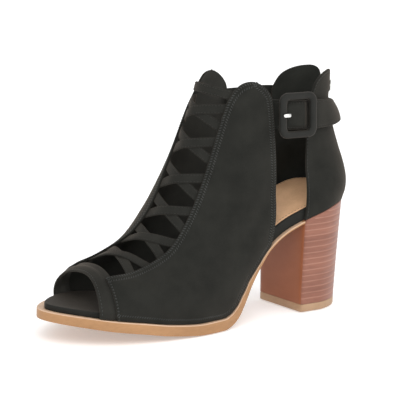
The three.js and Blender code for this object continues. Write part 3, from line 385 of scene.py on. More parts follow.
TAPE = nubuck("zip_tape", (0.010, 0.010, 0.010), (0.02, 0.02, 0.02), 0.1, rough=0.8, nap=0.5, fine=4000.0)

def plain(name, dark, light, rough, scale=400.0, coat=0.0, stretch=None, nap=0.08, spec=0.5):
    m, nt, b, vec = material(name)
    if stretch:
        mp = nt.nodes.new("ShaderNodeMapping"); mp.inputs["Scale"].default_value = stretch; nt.links.new(vec, mp.inputs["Vector"]); vec = mp.outputs["Vector"]
    f = mixfac(nt, noise(nt, vec, scale, 4.0), noise(nt, vec, scale / 12, 2.0), 0.5)
    nt.links.new(ramp(nt, f, [(0.5, dark), (0.95, light)]), b.inputs["Base Color"])
    b.inputs["Roughness"].default_value = rough; b.inputs["Coat Weight"].default_value = coat; b.inputs["Coat Roughness"].default_value = 0.25
    b.inputs["Specular IOR Level"].default_value = spec
    bump(nt, b, noise(nt, vec, scale * 2, 3.0), nap, 0.0002)
    return m

OUTSOLE = plain("outsole_tan", (0.30, 0.152, 0.062), (0.405, 0.215, 0.096), 0.5, 260.0, stretch=(1, 1, 3), spec=0.4)
# paler copy of the outsole tan: a painted highlight along the top edge of the outsole
OUTSOLE_HIGHLIGHT = plain("outsole_top_painted_highlight", (0.52, 0.34, 0.22), (0.66, 0.45, 0.31), 0.55, 260.0)
HEEL = plain("heel_stack", (0.182, 0.062, 0.036), (0.262, 0.100, 0.061), 0.42, 180.0, coat=0.12, stretch=(1, 1, 7), spec=0.45)
HEEL_LINE = plain("heel_stack_line", (0.255, 0.108, 0.070), (0.335, 0.152, 0.102), 0.5, 180.0, stretch=(1, 1, 7))
TIP = plain("heel_tip", (0.325, 0.195, 0.108), (0.42, 0.268, 0.158), 0.5, 260.0)
BREAST = plain("heel_breast", (0.235, 0.078, 0.034), (0.31, 0.110, 0.052), 0.42, 60.0, coat=0.05, stretch=(1, 1, 2), spec=0.25)
SOCK = plain("sock_tan", (0.63, 0.365, 0.195), (0.78, 0.475, 0.27), 0.6, 900.0, nap=0.2)

def metal(name):
    m, nt, b, vec = material(name)
    nt.links.new(ramp(nt, noise(nt, vec, 900.0), [(0.3, (0.62, 0.62, 0.60)), (0.7, (0.80, 0.80, 0.78))]), b.inputs["Base Color"])
    b.inputs["Metallic"].default_value = 1.0; b.inputs["Roughness"].default_value = 0.2
    bump(nt, b, noise(nt, vec, 1500.0), 0.05, 0.0001)
    return m
METAL = metal("bright_metal")

# ------------------------------------------------------------------ layers of the sole
def stations(x0, x1, n):
    return mix(x0, x1, 0.5 - 0.5 * np.cos(np.pi * np.arange(n + 1) / n))

def slab(name, xs, yO, yI, zT, zL, r, mats, across=14, rb=0.4, wall=3, top_index=None, rim=0):
    xs = np.asarray(xs, float); n = len(xs)
    O = np.stack([xs, yO(xs)], 1); I = np.stack([xs, yI(xs)], 1)
    loop = np.concatenate([O, I[::-1]])
    nxt = np.roll(loop, -1, 0); prv = np.roll(loop, 1, 0)
    def unit(v): return v / np.maximum(np.hypot(v[:, 0], v[:, 1])[:, None], 1e-9)
    tan = unit(unit(nxt - loop) + unit(loop - prv)); inn = np.stack([tan[:, 1], -tan[:, 0]], 1)
    cen = loop.mean(0)
    if ((cen - loop) * inn).sum() < 0: inn = -inn
    rings = []
    def ring(off, f): # f: share 0 bottom, 1 top, with a drop
        p = loop + inn * off; zl = zL(p[:, 0], p[:, 1]); zt = zT(p[:, 0], p[:, 1])
        rings.append(np.column_stack([p, f(zl, zt)]))
    for k in range(4):
        a = math.pi / 2 * k / 3; ring(rb * (1 - math.sin(a)), lambda l, t, a=a: l + rb * (1 - math.cos(a)))
    for k in range(1, wall): ring(0.0, lambda l, t, k=k: mix(l + rb, t - r, k / wall))
    for k in range(6):
        a = math.pi / 2 * k / 5; ring(r * (1 - math.cos(a)), lambda l, t, a=a: t - r * (1 - math.sin(a)))
    V = np.concatenate(rings); m = len(loop); F = []; M = []
    for q in range(len(rings) - 1):
        for k in range(m):
            a = q * m + k; b = q * m + (k + 1) % m
            F.append((a, b, b + m, a + m)); M.append(rim if q >= len(rings) - 6 else 0)
    extra = []
    base = len(V)
    for which, q in ((zL, 0), (zT, len(rings) - 1)):
        L = rings[q]; grid = np.zeros((n, across + 1), int)
        for k in range(n):
            o, i_ = q * m + k, q * m + (m - 1 - k)
            grid[k, 0] = o; grid[k, across] = i_
            for c in range(1, across):
                y = mix(V[o][1], V[i_][1], c / across); x = mix(V[o][0], V[i_][0], c / across)
                if 0 < k < n - 1:
                    extra.append([x, y, float(which(np.array([x]), np.array([y]))[0])]); grid[k, c] = base + len(extra) - 1
        for k in range(1, n - 2):
            for c in range(across):
                f = (grid[k, c], grid[k + 1, c], grid[k + 1, c + 1], grid[k, c + 1])
                F.append(f if q == 0 else f[::-1]); M.append(0 if q == 0 or top_index is None else top_index)
        for (k0, k1) in ((0, 1), (n - 1, n - 2)):
            f = [grid[k0, 0], grid[k0, across]] + [grid[k1, c] for c in range(across, -1, -1)]
            if (k0 == 0) == (q == 0): f = f[::-1]
            F.append(tuple(f)); M.append(0)
    # sense of the side walls is matched to the caps by the signed volume of each part
    V2 = np.concatenate([V, np.array(extra)]) if extra else V
    ob = make(name, V2, F, mats, M)
    bpy.context.view_layer.update()
    import bmesh
    bm = bmesh.new(); bm.from_mesh(ob.data); bmesh.ops.recalc_face_normals(bm, faces=bm.faces[:]); bm.to_mesh(ob.data); bm.free()
    return ob

os_x = stations(-15, TIP_X + TREAD - 0.01, 190); os_x = os_x[os_x > BREAST_TOP + 1.5]
os_x = np.concatenate([[BREAST_TOP + GAP + 0.1], os_x])
sole_o = lambda x: outline(x, ledgeAt(x), TIP_X + TREAD)[0]
sole_i = lambda x: outline(x, ledgeAt(x), TIP_X + TREAD)[1]
# the outsole's top face and top rounding take the paler copy, a painted highlight along its top edge
outsole = slab("outsole_look", os_x, sole_o, sole_i, lambda x, y: solTop(x), lambda x, y: solBottom(x), 0.55, [OUTSOLE, OUTSOLE_HIGHLIGHT], rb=0.5, top_index=1, rim=1)
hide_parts("outsole")

bedTip = TIP_X - TOE_IN
def bedY(x, side):
    x = np.asarray(x, float)
    xb = np.where(x < 8, mix(-24.0, 8, (x - BED_BACK) / (8 - BED_BACK)), x)
    o, i = outline(xb, -INSOLE_IN, bedTip); mid = (o + i) / 2; least = np.where(x < 8, 1.2, 0.1)
    if side > 0: return np.maximum(o, mid + least)
    return np.minimum(i + BED_TOE_CLIP * ease((x - 160) / 30) * np.where(i < -6, 1, -i / 6), mid - least)
bedTop = lambda x: mix(mix(INSOLE_T, INSOLE_BALL, ease((x - 45) / 50)), INSOLE_TOE, ease((x - 145) / 40)) + GAP
bedCup = lambda x, y: np.where(y < 0, INSOLE_CUP * (1 - ease((x - 25) / 45)) * ease(-y / 14), 0.0)
bed_z = lambda x, y: raise_(x, bedTop(x)) + bedCup(x, y)
insole = slab("insole_look", stations(BED_BACK, bedTip - 0.01, 150), lambda x: bedY(x, 1), lambda x: bedY(x, -1), bed_z, lambda x, y: raise_(x, GAP), 0.8, [WRAP], rb=0.3)
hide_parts("insole")

# tan heel sock on the footbed, set in from its edge, its front end rounded
SOCK_FROM, SOCK_TO, SOCK_IN = BED_BACK + 1.2, 66.0, 1.6
def sock_y(x, side):
    x = np.asarray(x, float); y = bedY(np.maximum(x, BED_BACK + 0.4), side)
    q = clamp01((x - 46) / (SOCK_TO - 46)); r = np.sqrt(np.maximum(0.0004, 1 - q ** 2.4))
    back_ = np.sqrt(np.maximum(0.0004, 1 - clamp01((SOCK_FROM + 16 - x) / 16) ** 2.6))
    w = (np.abs(y) - SOCK_IN) * r * back_
    return side * np.maximum(w, 0.15)
sock = slab("heel_sock", stations(SOCK_FROM, SOCK_TO, 90), lambda x: sock_y(x, 1), lambda x: sock_y(x, -1), lambda x, y: bed_z(x, y) + 0.55, lambda x, y: bed_z(x, y) - 0.1, 0.22, [SOCK], rb=0.05, wall=1)
for side in (1, -1):
    xs = np.linspace(SOCK_FROM + 3, SOCK_TO - 2, 160)
    P = np.stack([xs, sock_y(xs, side) - side * 1.5, bed_z(xs, sock_y(xs, side)) + 0.56], 1)
    stitches("sock", P, np.tile([0.0, 0.0, 1.0], (len(P), 1)), pitch=2.6, length=1.5, radius=0.22)

# ------------------------------------------------------------------ heel
RN = 44
def heel_loops():
    k = np.arange(RN + 1) / RN; s = np.sin(k * np.pi / 2)
    xb = mix(BREAST_TOP, -24.0, s); o, i = outline(xb, -0.3); o = np.maximum(o, 1.2); i = np.minimum(i, -1.2)
    xf = mix(BREAST_BOTTOM, HEEL_BOTTOM_BACK, s); u = clamp01((4 - xf) / (4 - HEEL_BOTTOM_BACK)); y = HEEL_BOTTOM_HALF * np.sqrt(np.maximum(0.003, 1 - np.power(u, 1.5)))
    fo = np.stack([xf + HEEL_BOTTOM_SKEW * y, HEEL_BOTTOM_MID + y], 1); fi = np.stack([xf - HEEL_BOTTOM_SKEW * y, HEEL_BOTTOM_MID - y], 1)
    so = np.stack([xb, o], 1); si = np.stack([xb, i], 1); top = solTop(xb)
    m = 14; c = np.linspace(0, 1, m + 1)[1:-1, None]
    floor = np.concatenate([fo, fi[::-1], mix(fi[0], fo[0], c)]); seat = np.concatenate([so, si[::-1], mix(si[0], so[0], c)])
    topz = np.concatenate([top, top[::-1], np.full(m - 1, top[0])])
    return floor, seat, topz
FLOOR, SEAT, TOPZ = heel_loops()
def round_loop(P, r=1.6):
    """rounds the two breast corners"""
    n = len(P); out = P.copy(); c0, c1 = 0, 2 * RN + 1
    for c in (c0, c1):
        for w in range(-3, 4):
            k = (c + w) % n; a, b = P[(c - 4) % n], P[(c + 4) % n]
            if w == 0: out[k] = P[c] * 0.55 + (P[(c - 1) % n] + P[(c + 1) % n]) * 0.225
    return out
LAYER = 3.93
def heel_block(name, z0, z1, levels, mats, lines=0, edge=0.4):
    """z1 None: up to the seat"""
    H = []
    top = TOPZ if z1 is None else np.full(len(TOPZ), z1)
    zs = []
    if lines: # level joints of the stack, cut off by the slanting seat
        for k in range(lines):
            h = (k + 1) * LAYER
            zs += [(0.0, h - 0.8, 0.0, 0), (0.0, h - 0.45, 0.13, 1), (0.0, h + 0.45, 0.08, 1), (0.0, h + 0.8, 0.0, 0)]
    rows = [(0.0, 0.0, edge, 0), (0.0, 0.12, edge * 0.45, 0), (0.0, 0.4, 0.0, 0)] + zs + [(1.0, -0.4, 0.0, 0), (1.0, -0.1, edge * 0.5, 0), (1.0, 0.0, edge, 0)]
    V = []; flags = []; m = len(FLOOR); breast = np.zeros(m, bool); breast[2 * RN + 2:] = True; breast[0] = True; breast[2 * RN + 1] = True
    cen = np.array([0.0, HEEL_BOTTOM_MID / 2])
    held = []
    for r_, (t, dz, off, fl) in enumerate(rows):
        z = mix(z0, top, t) + dz
        if lines and t == 0.0:
            most = top - 0.5 - 0.02 * (len(rows) - r_); cut = z > most; z = np.minimum(z, most)
        else: cut = np.zeros(m, bool)
        held.append(cut); q = np.power(clamp01(z / TOPZ), 1.25)[:, None]
        P = round_loop(mix(FLOOR, SEAT, q))
        nx, pv = np.roll(P, -1, 0), np.roll(P, 1, 0); tan = nx - pv; tan /= np.maximum(np.hypot(*tan.T)[:, None], 1e-9); inn = np.stack([tan[:, 1], -tan[:, 0]], 1)
        if ((cen - P) * inn).sum() < 0: inn = -inn
        P = P + inn * (np.where(breast | cut, 0.0, off)[:, None] if fl else off)
        V.append(np.column_stack([P, z])); flags.append(fl)
    m = len(FLOOR); F = []; M = []
    for l in range(len(V) - 1):
        for k in range(m):
            a = l * m + k; b = l * m + (k + 1) % m; F.append((a, b, b + m, a + m)); M.append(2 if len(mats) > 2 and (k >= 2 * RN + 1) else 1 if flags[l] and flags[l + 1] and len(mats) > 1 and not held[l + 1][k] and not held[l + 1][(k + 1) % m] else 0)
    F.append(tuple(range(m))[::-1]); M.append(0); F.append(tuple((len(V) - 1) * m + k for k in range(m))); M.append(0)
    ob = make(name, np.concatenate(V), F, mats, M)
    import bmesh
    bm = bmesh.new(); bm.from_mesh(ob.data); bmesh.ops.triangulate(bm, faces=[f for f in bm.faces if len(f.verts) > 4]); bmesh.ops.recalc_face_normals(bm, faces=bm.faces[:]); bm.to_mesh(ob.data); bm.free()
    return ob
heel = heel_block("heel_look", TOP_PIECE_T + 0.08, None, 8, [HEEL, HEEL_LINE, BREAST], lines=17, edge=0.2)
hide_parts("heel")
tip = heel_block("heel_tip_look", 0.0, TOP_PIECE_T, 1, [TIP], edge=0.25)
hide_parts("heel_tip")

# ------------------------------------------------------------------ upper
PT = 1.5 # panels
def panel_grid(side, rows=150, cols=70):
    lobe = Line([below(187, depthOf(187, 45.8)).tolist()] + [list(p) for p in PANEL_LOBE], 10); rear = Line([list(PANEL_LOBE[5])] + [list(p) for p in PANEL_REAR], 10)
    edge = edgeOut if side > 0 else edgeIn; corner = PANEL_CORNER[0]; front = PANEL_CORNER[1 if side > 0 else 2]
    i = np.arange(rows + 1) * 30 / rows; cr, lb = 14, 25
    v = 0.5 * (i - lb) / (30 - lb + 0.4)
    s = mix(38, 187, np.minimum(i, lb) / lb)
    F = np.where((i <= lb)[:, None], below(s, depthOf(s, edge(s))), lobe.along(lobe.total * np.maximum(v, 0)))
    x = mix(front, corner, np.minimum(i, cr) / cr); foot = np.stack([x, footZ(x)], 1)
    up = rear.along(rear.total * (1 - clamp01((i - cr) / (lb - cr)))); up[:, 1] = np.maximum(up[:, 1], footZ(up[:, 0]))
    R = np.where((i <= cr)[:, None], foot, np.where((i <= lb)[:, None], up, lobe.along(lobe.total * (1 - np.maximum(v, 0)))))
    crowd = 1.15 if side > 0 else 1.7
    j = np.arange(cols + 1) / cols
    e = np.where(i > lb, mix(crowd, 1, np.maximum(i - lb, 0) / (30 - lb)), crowd)[:, None]
    t = np.power(j[None, :], e)
    bow = np.where((side > 0) & (i < 6)[:, None], BAND_BOW * np.sin(np.pi * t) * (1 - i / 6)[:, None], 0.0)
    X = mix(F[:, :1], R[:, :1], t) + bow; Z = np.maximum(mix(F[:, 1:], R[:, 1:], t), footZ(X))
    return skin(side, X, Z)

def band_grid(rows=120, cols=24):
    a = mix(1, -1, np.arange(rows + 1) / rows)[:, None]; side = np.where(a >= 0, 1, -1); g = 1 - np.cos(np.abs(a) * np.pi / 2)
    t = (np.arange(cols + 1) / cols)[None, :]
    c = ridge.along(mix(BAND_CREST[0], BAND_CREST[1], t))
    fx = np.where(side > 0, mix(BAND_FRONT[0], BAND_REAR[0], t), mix(BAND_FRONT[1], BAND_REAR[1], t))
    bow = np.where(side > 0, BAND_BOW * np.sin(np.pi * g), 0.0)
    P = skin(side, mix(c[..., 0], fx, g) + bow, mix(c[..., 1], footZ(fx), g))
    P[rows // 2, :, 1] = 0
    return P

upper_parts = []
clear_foot = lambda q: q[2] - float(solTop(q[0])) > 3.0
# side panels line their insides with the lighter lining copy, painted bounced light
for side, nm in ((1, "outer"), (-1, "inner")):
    ob, top, N, D = shell("side_panel_" + nm, panel_grid(side), PT, 0.6, mats=[NUBUCK, LINING_PANEL_LIT], grooves=[("c0", 1.5, 0.2), ("c0", 4.4, 0.26), ("c1", 1.5, 0.18), ("c1", 4.2, 0.2), ("r1", 1.5, 0.18), ("r1", 4.4, 0.2), ("r0", 1.6, 0.16)], step=1.9)
    upper_parts.append(ob)
    for e, d, r_ in (("c0", 1.35, 0.36), ("c0", 4.3, 0.34), ("c1", 1.4, 0.32), ("c1", 4.0, 0.3)):
        P, Q = line_at(top, N, D, e, d)
        ok = lambda q: clear_foot(q) and q[2] < 161.5
        stitches("panel_" + nm, P, Q, ok, pitch=1.75, length=1.9, radius=r_, across=True, slant=0.55 if d > 2 else -0.45)
    P, Q = line_at(top, N, D, "r0", 1.5); stitches("panel_" + nm, P, Q, pitch=2.0, length=1.3, radius=0.28)
    P, Q = line_at(top, N, D, "r0", 0.9); stitches("panel_" + nm, P, Q, pitch=2.0, length=0.9, radius=0.22, across=True)
def band_dip(G):
    a = arcs(G); f = a / np.maximum(a[:, -1:], 1e-6)
    return 1.15 * ease((f - 0.42) / 0.28)
# toe band: lighter nubuck outside and lighter lining inside, both painted light
ob, top, N, D = shell("toe_band", band_grid(), 1.5, 0.55, lift=0.25, mats=[TOE_BAND_LIT, LINING_FRONT_LIT], grooves=[("c0", 1.7, 0.14)], step=1.5, wave=band_dip)
upper_parts.append(ob)
P, Q = line_at(top, N, D, "c0", 1.7); stitches("band", P, Q, clear_foot)

def strap_path(s0, s1, tuck, steps):
    t = np.arange(steps + 1) / steps
    ang = mix(edgeOut(s0) + tuck, -edgeIn(s1) - tuck, t)
    P = onFront(mix(s0, s1, t), ang); U = onFront(mix(s0, s1, t) + 1.2, ang) - onFront(mix(s0, s1, t) - 1.2, ang)
    d = np.gradient(P, axis=0); N = np.cross(U, d); N /= np.linalg.norm(N, axis=1, keepdims=True)
    if (N * (P - np.array([60.0, 0, 60.0]))).sum() < 0: N = -N
    for _ in range(3): P[1:-1] = (P[:-2] + 2 * P[1:-1] + P[2:]) / 4; N[1:-1] = (N[:-2] + 2 * N[1:-1] + N[2:]) / 4
    return P, N / np.linalg.norm(N, axis=1, keepdims=True)

def strap(name, s0, s1, over):
    n = 60; P, N = strap_path(s0, s1, 7, n); t = np.arange(n + 1) / n
    s = np.concatenate([[0], np.cumsum(np.linalg.norm(np.diff(P, axis=0), axis=1))]); end = np.minimum(s, s[-1] - s)
    lift = PT - 0.1 - (1.25 if over else 0.0) * ease((end - 7) / np.maximum(s[-1] / 2 - 7, 3) * 1.3)
    T = np.gradient(P, axis=0); T /= np.linalg.norm(T, axis=1, keepdims=True)
    S = np.cross(T, N); S /= np.linalg.norm(S, axis=1, keepdims=True); N = np.cross(S, T)
    th = 1.2; K = 20; ring = []
    for k in range(K):
        a = 2 * np.pi * k / K; c, s_ = np.cos(a), np.sin(a)
        ring.append((np.sign(c) * abs(c) ** 0.35 * STRAP_W / 2, np.sign(s_) * abs(s_) ** 0.6 * th / 2))
    V = []
    for q in range(n + 1):
        for (u, w) in ring: V.append(P[q] + S[q] * u + N[q] * (w - th / 2 - lift[q] + 0.10 * (1 - (2 * u / STRAP_W) ** 2)))
    F = [(q * K + k, q * K + (k + 1) % K, (q + 1) * K + (k + 1) % K, (q + 1) * K + k) for q in range(n) for k in range(K)]
    F += [tuple(range(K))[::-1], tuple(n * K + k for k in range(K))]
    ob = make(name, V, F, [STRAP])
    for u in (-2.2, 2.2):
        L = P + S * u + N * (-lift + 0.08)[:, None]
        m = end > 5.0
        stitches("straps", L[m], N[m], pitch=2.1, length=1.35, radius=0.2)
    return ob
for k, (hi, lo) in enumerate(CROSSES):
    upper_parts.append(strap("cross_strap_%d_down" % (k + 1), hi, lo, True))
    upper_parts.append(strap("cross_strap_%d_up" % (k + 1), lo, hi, False))
upper_parts.append(strap("cross_strap_top", TOP_STRAP, TOP_STRAP, False))
for ob in upper_parts:
    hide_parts("upper")

# ------------------------------------------------------------------ heel counter, two halves either side of the zip
counterTop, counterFront = Line(COUNTER_TOP, 10), Line(COUNTER_FRONT, 10)
def counter_grid(side, rows=70, cols=70):
    m = np.linspace(1, 0, rows + 1)[:, None]; g = 1 - np.cos(m * np.pi / 2)
    x0 = mix(-25.0, COUNTER_FRONT[0][0], g); z0 = footZ(x0); high = counterTop.along(counterTop.total * mix(g, m, 0.65))
    wid = lambda z: xAt(counterFront, z) - xAt(back, z)
    qH = (high[..., 0] - xAt(back, high[..., 1])) / wid(high[..., 1])
    v = (np.arange(cols + 1) / cols)[None, :]
    z = mix(z0, high[..., 1], v); q = mix(g, qH, v)
    lobe = LOBE_SHIFT[0 if side > 0 else 1] * clamp01(q) * ease((z - 128) / 18)
    P = skin(side, xAt(back, z) + q * wid(z) + lobe, z)
    P[-1, :, 1] = 0
    w = ease((z - 141) / 9) * np.exp(-np.maximum(q, 0) * 2.2)
    P[..., 0] -= 1.1 * w; P[..., 1] += side * 0.9 * w * np.minimum(1, m * 6)
    return P
for side, nm in ((1, "outer"), (-1, "inner")):
    ob, top, N, D = shell("counter_" + nm, counter_grid(side), 1.8, 0.6, mats=[NUBUCK, LINING], grooves=[("r0", 1.7, 0.14), ("c1", 1.7, 0.14), ("r1", 2.0, 0.12)], step=1.7, trim=1.5)
    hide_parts("heel_counter")
    for e, d in (("r0", 1.7), ("c1", 1.7), ("r1", 2.0)):
        P, Q = line_at(top, N, D, e, d); stitches("counter_" + nm, P, Q, clear_foot)
# closed zip down the back: tape and two rows of teeth
zt = np.linspace(72, 141, 60)
tape = np.stack([np.stack([xAt(back, zt) + 1.4, np.full_like(zt, y), zt], 1) for y in np.linspace(-3.4, 3.4, 7)], 0)
ob, _, _, _ = shell("zip_tape", tape, 0.7, 0.2, mats=[TAPE], step=1.2)
V, F = [], []
for k, z in enumerate(np.arange(72.5, 140.5, 1.25)):
    x = float(xAt(back, z)) + 0.75; y = 0.42 * (1 if k % 2 else -1)
    b = len(V)
    for (dx, dy, dz) in ((-.4, -.75, -.42), (-.4, .75, -.42), (-.4, .75, .42), (-.4, -.75, .42), (.6, -.9, -.5), (.6, .9, -.5), (.6, .9, .5), (.6, -.9, .5)):
        V.append([x + dx, y + dy, z + dz])
    F += [tuple(b + i for i in f) for f in ((0, 1, 2, 3), (7, 6, 5, 4), (0, 4, 5, 1), (1, 5, 6, 2), (2, 6, 7, 3), (3, 7, 4, 0))]
ob = make("zip_teeth", V, F, [TAPE], smooth=False)

# ------------------------------------------------------------------ buckle and prong, in the buckle's own frame
RAD = math.pi / 180
BF = Matrix.Translation(Vector(BUCKLE_AT)) @ Matrix.Rotation(-BUCKLE_TILT * RAD, 4, "Y") @ Matrix.Rotation(BUCKLE_TURN * RAD, 4, "Z") @ Matrix.Rotation(BUCKLE_LEAN * RAD, 4, "X")
BF = BF @ Matrix(((-1, 0, 0, 0), (0, 0, 1, 0), (0, 1, 0, 0), (0, 0, 0, 1)))
place = lambda P: np.array([list((BF @ Vector(p))) for p in P])
BI = BF.inverted()
def buckle_mesh():
    K = 24
    hw, hh, rr = BUCKLE_W / 2, BUCKLE_H / 2, BUCKLE_R
    iw, ih, ir = hw - BUCKLE_SIDE, hh - BUCKLE_RAIL, 2.6
    out_, in_ = [], []
    for cx, cy, a0 in ((1, 1, 0), (-1, 1, 90), (-1, -1, 180), (1, -1, 270)):
        for k in range(11):
            a = math.radians(a0 + 9 * k); out_.append((cx * (hw - rr) + rr * math.cos(a), cy * (hh - rr) + rr * math.sin(a))); in_.append((cx * (iw - ir) + ir * math.cos(a), cy * (ih - ir) + ir * math.sin(a)))
    O, I = [], []
    n = len(out_)
    for k in range(n):
        O.append(out_[k]); I.append(in_[k])
        if k % 11 == 10:
            a, b = out_[k], out_[(k + 1) % n]; c, d = in_[k], in_[(k + 1) % n]
            for w in (0.2, 0.4, 0.6, 0.8): O.append((mix(a[0], b[0], w), mix(a[1], b[1], w))); I.append((mix(c[0], d[0], w), mix(c[1], d[1], w)))
    V = []
    for o, i in zip(O, I):
        mx, my = (o[0] + i[0]) / 2, (o[1] + i[1]) / 2; dx, dy = (o[0] - i[0]) / 2, (o[1] - i[1]) / 2
        for k in range(K):
            a = 2 * math.pi * k / K; c, s = math.cos(a), math.sin(a)
            c = math.copysign(abs(c) ** 0.72, c); s = math.copysign(abs(s) ** 0.8, s)
            V.append((mx + dx * c, my + dy * c, -BUCKLE_T / 2 + s * BUCKLE_T / 2))
    m = len(O); F = [(q * K + k, q * K + (k + 1) % K, ((q + 1) % m) * K + (k + 1) % K, ((q + 1) % m) * K + k) for q in range(m) for k in range(K)]
    return place(V), F
V, F = buckle_mesh(); bk = make("buckle_look", V, F, [COVER]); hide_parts("buckle")

# ------------------------------------------------------------------ buckled strap
def catmull(R, t):
    R = np.array(R, float); n = len(R); p = (n - 1) * np.clip(t, 0, 1); i = np.minimum(p.astype(int), n - 2); w = (p - i)[:, None]
    P = np.concatenate([[2 * R[0] - R[1]], R, [2 * R[-1] - R[-2]]])
    a, b, c, d = P[i], P[i + 1], P[i + 2], P[i + 3]; t0, t1 = 0.5 * (c - a), 0.5 * (d - b)
    return (2 * b - 2 * c + t0 + t1) * w ** 3 + (-3 * b + 3 * c - 2 * t0 - t1) * w ** 2 + t0 * w + b
ROWS = ANKLE_OUT + [ANKLE_MID] + ANKLE_IN
def ankle_grid(n=260, cols=26):
    t = np.arange(n + 1) / n; R = catmull(ROWS, t); p = R[:, :3]; q = catmull(ROWS, np.minimum(t + 1e-4, 1))[:, :3] - catmull(ROWS, np.maximum(t - 1e-4, 0))[:, :3]
    out = np.stack([q[:, 1], -q[:, 0], 0 * q[:, 0]], 1); out /= np.linalg.norm(out, axis=1, keepdims=True)
    v = (np.arange(cols + 1) / cols - 0.5)[None, :]
    sw = 1.7 * (R[:, 3:4] / 9) * (1 - (2 * v) ** 2)
    return p[:, None, :] + out[:, None, :] * (v * R[:, 3:4] + sw)[..., None] + np.array([0, 0, 1.0]) * (-v * R[:, 4:5])[..., None]
B4 = np.array(BI)
def strap_wave(G):
    L = G @ B4[:3, :3].T + B4[:3, 3]
    near_ = (L[..., 2] > -20) & (G[..., 1] > 0)
    x, y = np.abs(L[..., 0]), np.abs(L[..., 1])
    up = (1 - ease((x - 6.6) / 3.6)) * (1 - 0.75 * ease((y - 7.0) / 3.0))
    down = ease((x - 8.5) / 3.0) * (1 - ease((x - 16) / 4.0))
    return np.where(near_, -1.7 * up + 0.5 * down, 0.0)
ob, top, N, D = shell("ankle_strap_look", ankle_grid(), 1.8, 0.7, mats=[NUBUCK, LINING], grooves=[("c0", 1.8, 0.14), ("c1", 1.8, 0.14)], step=1.2, wave=strap_wave)
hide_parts("ankle_strap")
for e in ("c0", "c1"):
    P, Q = line_at(top, N, D, e, 1.8); stitches("ankle_strap", P, Q, lambda q: not (q[1] > 0 and q[0] > 44.5))

PRONG = [[-15.2, 1.2], [-13.4, 1.35], [-11.5, 1.4], [-9.9, 1.2], [-8.6, 0.3], [-7.4, -1.5], [-6.2, -3.8], [-4.6, -5.9], [-2.6, -6.5], [-0.5, -6.6], [7, -6.2]]
def prong_mesh():
    K = 14; P = Line(PRONG, 4).p; n = len(P); V = []
    d = np.gradient(P, axis=0); d /= np.hypot(*d.T)[:, None]
    s = np.concatenate([[0], np.cumsum(np.hypot(*np.diff(P, axis=0).T))])
    for k in range(n):
        f = min(1.0, 0.45 + 0.55 * math.sqrt(min(1.0, s[k] / 1.3))); w = 1.3 * f; h = 0.75 * f
        for q in range(K):
            a = 2 * math.pi * q / K; c, s_ = math.cos(a), math.sin(a)
            c = math.copysign(abs(c) ** 0.7, c); s_ = math.copysign(abs(s_) ** 0.8, s_)
            V.append((P[k][0] - d[k][1] * s_ * h, c * w + 0.5, P[k][1] + d[k][0] * s_ * h))
    F = [(q * K + k, q * K + (k + 1) % K, (q + 1) * K + (k + 1) % K, (q + 1) * K + k) for q in range(n - 1) for k in range(K)]
    F += [tuple(range(K))[::-1], tuple((n - 1) * K + k for k in range(K))]
    return place(V), F
V, F = prong_mesh(); pr = make("prong_look", V, F, [METAL]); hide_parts("buckle_prong")

# zip slider and pull keep the frame's own solids, with softened edges
for nm in ("zip_slider", "zip_pull"):
    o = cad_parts[nm]; o.data.materials.clear(); o.data.materials.append(METAL)
    bv = o.modifiers.new("soft_edges", "BEVEL"); bv.width = 0.00018; bv.segments = 2; bv.limit_method = "ANGLE"; bv.angle_limit = math.radians(35)

# ------------------------------------------------------------------ stitch rows
for key, (V, F) in STITCH.items():
    ob = make("stitches_" + key, V, F, [THREAD_TAN if key == "sock" else THREAD_DARK if key in ("straps", "ankle_strap") else THREAD])

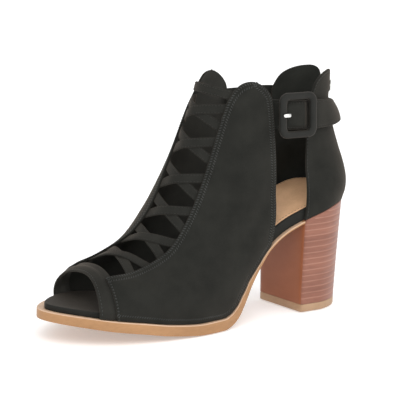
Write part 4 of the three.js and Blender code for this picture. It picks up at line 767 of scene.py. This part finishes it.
# ------------------------------------------------------------------ floor, light, camera
def plane(name, size, z, mat):
    me = bpy.data.meshes.new(name); s = size / 2
    me.from_pydata([(-s, -s, z), (s, -s, z), (s, s, z), (-s, s, z)], [], [(0, 1, 2, 3)]); me.materials.append(mat)
    o = bpy.data.objects.new(name, me); bpy.context.scene.collection.objects.link(o); return o
fm, nt, b, vec = material("floor_pale")
nt.links.new(ramp(nt, noise(nt, vec, 2.0), [(0.3, (0.90, 0.90, 0.90)), (0.7, (0.93, 0.93, 0.93))]), b.inputs["Base Color"])
b.inputs["Roughness"].default_value = 0.9
b.inputs["Emission Color"].default_value = (1, 1, 1, 1); b.inputs["Emission Strength"].default_value = 0.3
floor = plane("floor", 14.0, -0.0006, fm)

sc = bpy.context.scene
w = bpy.data.worlds.new("studio") if sc.world is None else sc.world
sc.world = w; w.use_nodes = True
bg = w.node_tree.nodes.get("Background") or w.node_tree.nodes.new("ShaderNodeBackground")
bg.inputs["Color"].default_value = (1.0, 1.0, 1.0, 1.0); bg.inputs["Strength"].default_value = 0.9
def area(name, loc, target, size, power):
    l = bpy.data.lights.new(name, "AREA"); l.shape = "SQUARE"; l.size = size; l.energy = power
    o = bpy.data.objects.new(name, l); o.location = loc
    o.rotation_euler = (Vector(target) - Vector(loc)).to_track_quat("-Z", "Y").to_euler()
    sc.collection.objects.link(o); return o
area("key", (0.75, 0.9, 1.15), (0.08, 0, 0.06), 0.9, 9.0)
area("fill", (-0.6, 1.1, 0.6), (0.05, 0, 0.07), 0.9, 4.0)
sc.view_settings.view_transform = "Standard"

AZ, EL, DIST, ROLL, AIM = math.radians(35.8), math.radians(12.9), 2.2, math.radians(1.5), np.array([0.086, 0.0, 0.0797])
r = np.array([-math.cos(AZ), math.sin(AZ), 0]); u = np.array([-math.sin(AZ) * math.sin(EL), -math.cos(AZ) * math.sin(EL), math.cos(EL)]); fw = np.array([-math.sin(AZ) * math.cos(EL), -math.cos(AZ) * math.cos(EL), -math.sin(EL)])
r2 = r * math.cos(ROLL) + u * math.sin(ROLL); u2 = -r * math.sin(ROLL) + u * math.cos(ROLL)
cd = bpy.data.cameras.new("camera"); cd.lens = 301.16; cd.sensor_width = 36.0; cd.sensor_fit = "HORIZONTAL"; cd.clip_start = 0.1; cd.clip_end = 60.0
cam = bpy.data.objects.new("camera", cd); pos = AIM - fw * DIST
cam.matrix_world = Matrix([[r2[0], u2[0], -fw[0], pos[0]], [r2[1], u2[1], -fw[1], pos[1]], [r2[2], u2[2], -fw[2], pos[2]], [0, 0, 0, 1]])
sc.collection.objects.link(cam); sc.camera = cam

bpy.context.view_layer.update()
